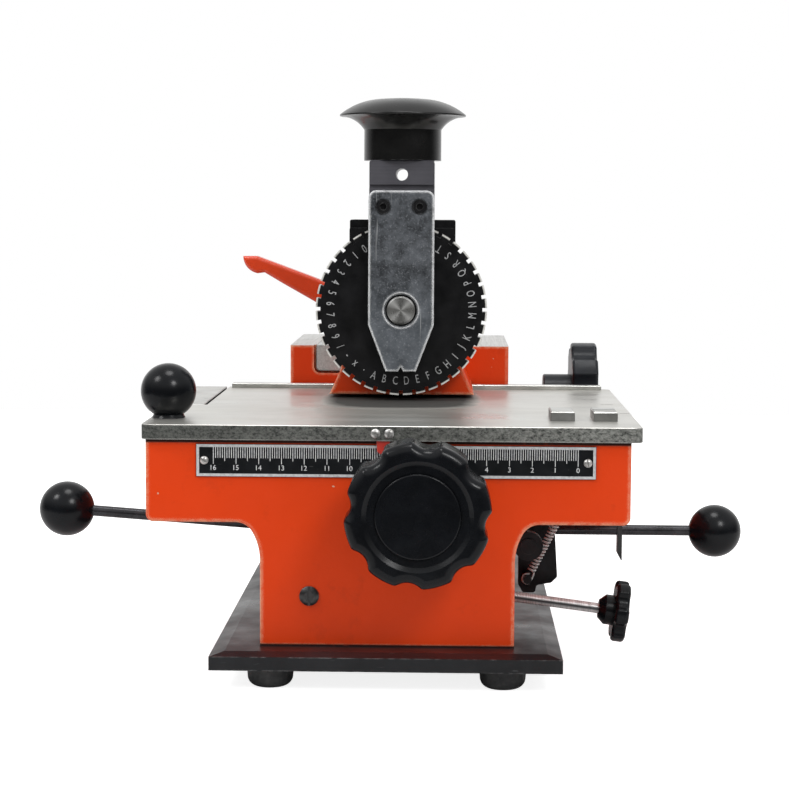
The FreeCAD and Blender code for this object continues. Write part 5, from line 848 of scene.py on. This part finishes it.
def written(text, high, at, turn, thick, narrow=1.0):
    """Plain raised letters of one type size, centred on a point."""
    clear_selection()
    bpy.ops.object.text_add(location=(0, 0, 0))
    words = bpy.context.object
    words.data.body = text
    words.data.align_x = "CENTER"
    words.data.size = high / CAPITAL_SHARE
    words.data.resolution_u = 3
    words.data.extrude = thick / 2
    bpy.ops.object.convert(target="MESH")
    mesh = bpy.context.object
    corners = [Vector(c) for c in mesh.bound_box]
    middle = (corners[0] + corners[6]) / 2
    mesh.data.transform(Matrix.Translation(-middle))
    mesh.matrix_world = Matrix.Translation(at) @ turn @ Matrix.Diagonal((narrow, 1, 1, 1))
    bpy.ops.object.transform_apply()
    return mesh


class MARKER_OT_ruler(Operator):
    """Finishes the ruler and adds its border, marks and numbers"""
    bl_idname = "marker.ruler"
    bl_label = "Ruler"

    def execute(self, context):
        sizes, colours, _ = settings()
        give(ruler_black(), "ruler", "ruler_plate")
        low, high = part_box("ruler_plate")
        wide, thick = sizes.border_wide, sizes.mark_thick
        face, zero_x, top = low.y, high.x - ZERO_INSET, high.z - wide * MARKS_START
        white = mark_white(colours)
        # Longer marks stand a little prouder than the shorter ones that they cover
        rows = [tick_row(name, LAST_CENTIMETRE * 10 // every + 1, -every * MILLIMETRE, zero_x, top, long,
                         face - proud * thick, thick, sizes.tick_wide)
                for name, every, long, proud in (("millimetres", 1, sizes.tick_short, 0.0),
                                                 ("halves", 5, sizes.tick_half, 0.25),
                                                 ("centimetres", 10, sizes.tick_long, 0.5))]
        finish_piece(joined(rows), "ruler_ticks", "frame", white)
        level = low.z + wide + NUMBERS_LIFT
        digits = [written(str(i), sizes.digit_high, (zero_x - 10 * MILLIMETRE * i, face - thick / 2, level),
                          FACING_FRONT, thick) for i in range(LAST_CENTIMETRE + 1)]
        finish_piece(joined(digits), "ruler_numbers", "frame", white)
        # Border: a flat frame
        clear_selection()
        bpy.ops.mesh.primitive_plane_add(size=1, location=(0, 0, 0))
        border = bpy.context.object
        border.scale = (high.x - low.x - 2 * BORDER_INSET, high.z - low.z - 2 * BORDER_INSET, 1)
        bpy.ops.object.transform_apply()
        bpy.ops.object.mode_set(mode="EDIT")
        bpy.ops.mesh.select_all(action="SELECT")
        bpy.ops.mesh.inset(thickness=wide, depth=0)
        bpy.ops.mesh.delete(type="FACE")
        bpy.ops.object.mode_set(mode="OBJECT")
        apply_modifier(border, "SOLIDIFY", thickness=thick, offset=0)
        border.matrix_world = Matrix.Translation((centre((low.x, high.x)), face - thick / 2,
                                                  centre((low.z, high.z)))) @ FACING_FRONT
        silver = bright_rod("border_silver", (0.66, 0.67, 0.68), (0.36, 0.5), EVEN, 0.2)
        finish_piece(border, "ruler_border", "frame", silver)
        return {"FINISHED"}


WHEEL_TEXT = "0123456789/-x.ABCDEFGHIJKLMNOPQRSTUVWXYZ"
LOWEST_LETTER = "C"
WHEEL_THICK = 0.009
LETTER_NARROW = 0.66


class MARKER_OT_wheel_characters(Operator):
    """Adds the ring of plain characters on the type wheel"""
    bl_idname = "marker.wheel_characters"
    bl_label = "Wheel characters"

    def execute(self, context):
        sizes, colours, _ = settings()
        low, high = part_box("type_wheel")
        x, z = centre((low.x, high.x)), centre((low.z, high.z))
        face = high.y - WHEEL_THICK
        step = 360 / len(WHEEL_TEXT)
        letters = []
        for i, letter in enumerate(WHEEL_TEXT):
            angle = math.radians(step * (i - WHEEL_TEXT.index(LOWEST_LETTER) - 0.5))
            at = (x + sizes.letter_ring * math.sin(angle), face - sizes.mark_thick / 2,
                  z - sizes.letter_ring * math.cos(angle))
            turn = Matrix.Rotation(-angle, 4, "Y") @ FACING_FRONT
            letters.append(written(letter, sizes.letter_high, at, turn, sizes.mark_thick, LETTER_NARROW))
        pale = mark_white(colours, "letter_white", 0.55)
        finish_piece(joined(letters), "wheel_letters", "wheel", pale)
        return {"FINISHED"}


POINTS_A_TURN = 14
TENSION_LOW = (0.0639, -0.088, 0.038)
TENSION_HIGH = (0.0789, -0.088, 0.068)
PIN_RADIUS = 0.002
PIN_PLAY = 0.0001
# From a hook's eye to the first turn
NECK = 0.0012
HOOK_POINTS = 9
HOOK_STEP = 30
SMOOTH_UNDER = 0.9


def wire(name, points, radius, material):
    """Round wire along a smooth line, made a mesh."""
    clear_selection()
    bpy.ops.curve.primitive_nurbs_path_add(location=(0, 0, 0))
    line = bpy.context.object
    line.data.splines.clear()
    spline = line.data.splines.new("NURBS")
    spline.points.add(len(points) - 1)
    for i, point in enumerate(points):
        spline.points[i].co = (*point, 1)
    spline.order_u = 4
    spline.use_endpoint_u = True
    line.data.resolution_u = 2
    line.data.bevel_depth = radius
    line.data.bevel_resolution = 2
    line.data.use_fill_caps = True
    only(line)
    bpy.ops.object.convert(target="MESH")
    piece = bpy.context.object
    turn_outwards()
    bpy.ops.object.shade_smooth_by_angle(angle=SMOOTH_UNDER)
    settle(piece, name, material)
    return piece


class MARKER_OT_springs(Operator):
    """Winds the tension spring with its hooks, and the ram's return spring"""
    bl_idname = "marker.springs"
    bl_label = "Springs"

    def execute(self, context):
        sizes = settings()[0]
        steel = bright_rod("spring_wire", (0.78, 0.78, 0.77), (0.35, 0.5), EVEN, 0.1)
        # Both eyes lie on pins that run front to back
        low_pin, high_pin = Vector(TENSION_LOW), Vector(TENSION_HIGH)
        along = (high_pin - low_pin).normalized()
        front = Vector((0, 1, 0))
        side = front.cross(along)
        eye = PIN_RADIUS + sizes.tension_wire + PIN_PLAY
        start = eye + NECK
        span = (high_pin - low_pin).length - 2 * start
        points = []
        for k in range(HOOK_POINTS):
            a = math.radians(270 - HOOK_STEP * k)
            points.append(low_pin + eye * (math.cos(a) * side - math.sin(a) * along))
        total = sizes.tension_turns * POINTS_A_TURN
        for k in range(total + 1):
            a = 2 * math.pi * k / POINTS_A_TURN
            lift = start + span * k / total
            points.append(low_pin + sizes.tension_coil * (math.cos(a) * side + math.sin(a) * front)
                          + lift * along)
        for k in range(HOOK_POINTS):
            a = math.radians(HOOK_STEP * (k + 1))
            points.append(high_pin + eye * (math.cos(a) * side + math.sin(a) * along))
        tension = wire("tension_spring_wire", points, sizes.tension_wire, steel)
        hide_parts("tension_spring")
        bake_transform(tension)
        # Return spring: its end turns lie close
        low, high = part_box("return_spring")
        x, y = centre((low.x, high.x)), centre((low.y, high.y))
        bottom, top = low.z + sizes.return_wire, high.z - sizes.return_wire
        points = []
        total = sizes.return_turns * POINTS_A_TURN
        for k in range(total + 1):
            a = 2 * math.pi * k / POINTS_A_TURN
            share = k / total
            eased = share - 0.5 * math.sin(2 * math.pi * share) / (2 * math.pi)
            points.append((x + sizes.return_coil * math.cos(a), y + sizes.return_coil * math.sin(a),
                           bottom + (top - bottom) * eased))
        spring = wire("return_spring_wire", points, sizes.return_wire, steel)
        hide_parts("return_spring")
        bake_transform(spring)
        return {"FINISHED"}


CAMERA_AT = (0.02705, -1.037, 0.2089)
CAMERA_LEFT = math.radians(1.551)
CAMERA_DOWN = math.radians(5.11)
CAMERA_ROLL = math.radians(0.3)
LAMPS_AIM, LAMPS_AWAY, TOP_SHARE = (0, -0.06, 0.12), 2.2, 1.2
FLOOR_WIDE, FLOOR_FRONT, FLOOR_PALE, FLOOR_GLOW = 1.5, -0.42, 0.70, 0.84


def paper_floor():
    """Pale paper that takes the machine's shadow and is all but white to the camera."""
    paper = bpy.data.materials.new("paper_floor")
    paper.use_nodes = True
    nodes, links = paper.node_tree.nodes, paper.node_tree.links
    shader = nodes["Principled BSDF"]
    shader.inputs["Base Color"].default_value = (FLOOR_PALE, FLOOR_PALE, FLOOR_PALE, 1)
    shader.inputs["Roughness"].default_value = 0.6
    shader.inputs["Emission Color"].default_value = (1, 1, 1, 1)
    share = nodes.new("ShaderNodeMath")
    share.operation = "MULTIPLY"
    share.inputs[1].default_value = FLOOR_GLOW
    links.new(nodes.new("ShaderNodeLightPath").outputs["Is Camera Ray"], share.inputs[0])
    links.new(share.outputs[0], shader.inputs["Emission Strength"])
    return paper


def white_room(strength):
    """A world that is white to the camera, even for light, and shaped where pieces mirror it."""
    world = bpy.data.worlds.new("white_room")
    world.use_nodes = True
    nodes, links = world.node_tree.nodes, world.node_tree.links

    def larger(a, b):
        """The larger of two values."""
        node = nodes.new("ShaderNodeMath")
        node.operation = "MAXIMUM"
        links.new(a, node.inputs[0])
        links.new(b, node.inputs[1])
        return node.outputs[0]

    def ramp(value, *spans):
        """Part of a value's span, stretched to a new one."""
        node = nodes.new("ShaderNodeMapRange")
        for socket, number in zip(("From Min", "From Max", "To Min", "To Max"), spans):
            node.inputs[socket].default_value = number
        links.new(value, node.inputs["Value"])
        return node.outputs["Result"]

    seen = nodes.new("ShaderNodeLightPath").outputs
    heading = nodes.new("ShaderNodeSeparateXYZ")
    links.new(nodes.new("ShaderNodeTexCoord").outputs["Generated"], heading.inputs[0])
    # The white sheet hangs behind, the ceiling is pale, and the room below the camera is dim
    mirrored = larger(ramp(heading.outputs["Y"], 0.15, 0.80, 0.03, 1.0),
                      ramp(heading.outputs["Z"], 0.08, 0.50, 0.03, 0.8))
    room = nodes.new("ShaderNodeMix")
    links.new(larger(seen["Is Glossy Ray"], seen["Is Transmission Ray"]), room.inputs["Factor"])
    room.inputs["A"].default_value = strength
    links.new(mirrored, room.inputs["B"])
    background = nodes["Background"]
    background.inputs["Color"].default_value = (1, 1, 1, 1)
    links.new(larger(seen["Is Camera Ray"], room.outputs["Result"]), background.inputs["Strength"])
    return world


class MARKER_OT_stage(Operator):
    """Sets the floor, the soft lamps, the white room and the camera"""
    bl_idname = "marker.stage"
    bl_label = "Stage"

    def execute(self, context):
        stage = settings()[2]
        clear_selection()
        bpy.ops.mesh.primitive_plane_add(size=FLOOR_WIDE, location=(0, FLOOR_FRONT + FLOOR_WIDE / 2, 0))
        floor = context.object
        floor.name = "floor"
        floor.data.materials.append(paper_floor())
        context.scene.world = white_room(stage.room)

        middle = Vector(LAMPS_AIM)
        for name, heading, size, power in (
                ("lamp_left", (-0.62, -0.36, 0.70), 0.62, stage.key),
                ("lamp_top", (0.02, -0.12, 0.99), 0.85, stage.key * TOP_SHARE),
                ("lamp_right", (0.40, -0.70, 0.59), 0.62, stage.fill)):
            way = Vector(heading).normalized()
            bpy.ops.object.light_add(type="AREA", location=middle + LAMPS_AWAY * way)
            lamp = context.object
            lamp.name = name
            lamp.rotation_euler = way.to_track_quat("Z", "Y").to_euler()
            lamp.data.shape = "DISK"
            lamp.data.size = size
            lamp.data.energy = power

        bpy.ops.object.camera_add(location=CAMERA_AT)
        camera = context.object
        camera.name = "camera"
        down, left = math.cos(CAMERA_DOWN), math.cos(CAMERA_LEFT)
        ahead = Vector((-math.sin(CAMERA_LEFT) * down, left * down, -math.sin(CAMERA_DOWN)))
        level = ahead.to_track_quat("-Z", "Y").to_matrix().to_4x4()
        camera.matrix_world = (Matrix.Translation(CAMERA_AT) @ level
                               @ Matrix.Rotation(CAMERA_ROLL, 4, "Z"))
        camera.data.lens = stage.lens
        camera.data.sensor_width = 36
        camera.data.sensor_fit = "HORIZONTAL"
        camera.data.clip_start = 0.05
        camera.data.clip_end = 30
        context.scene.camera = camera
        context.scene.view_settings.view_transform = "Standard"
        return {"FINISHED"}


class MARKER_PT_panel(Panel):
    """The machine's pieces, sizes and colours"""
    bl_label = "Marking machine"
    bl_idname = "MARKER_PT_panel"
    bl_space_type = "VIEW_3D"
    bl_region_type = "UI"
    bl_category = "Marking machine"

    def draw(self, context):
        for operator in OPERATORS:
            self.layout.operator(operator.bl_idname)
        for group in settings():
            box = self.layout.box()
            for name in group.bl_rna.properties.keys():
                if name not in ("rna_type", "name"):
                    box.prop(group, name)


OPERATORS = (
    MARKER_OT_castings,
    MARKER_OT_table,
    MARKER_OT_head,
    MARKER_OT_levers,
    MARKER_OT_ruler,
    MARKER_OT_wheel_characters,
    MARKER_OT_springs,
    MARKER_OT_stage,
)
GROUPS = {"marking_sizes": MarkingSizes, "marking_colours": MarkingColours, "marking_stage": StageSettings}


def register():
    for name, group in GROUPS.items():
        bpy.utils.register_class(group)
        setattr(bpy.types.Scene, name, PointerProperty(type=group))
    for item in (*OPERATORS, MARKER_PT_panel):
        bpy.utils.register_class(item)


def unregister():
    for item in (MARKER_PT_panel, *reversed(OPERATORS)):
        bpy.utils.unregister_class(item)
    for name, group in GROUPS.items():
        delattr(bpy.types.Scene, name)
        bpy.utils.unregister_class(group)


def main():
    register()
    for operator in OPERATORS:
        group, name = operator.bl_idname.split(".")
        getattr(getattr(bpy.ops, group), name)()
    clear_selection()


if __name__ == "__main__":
    main()
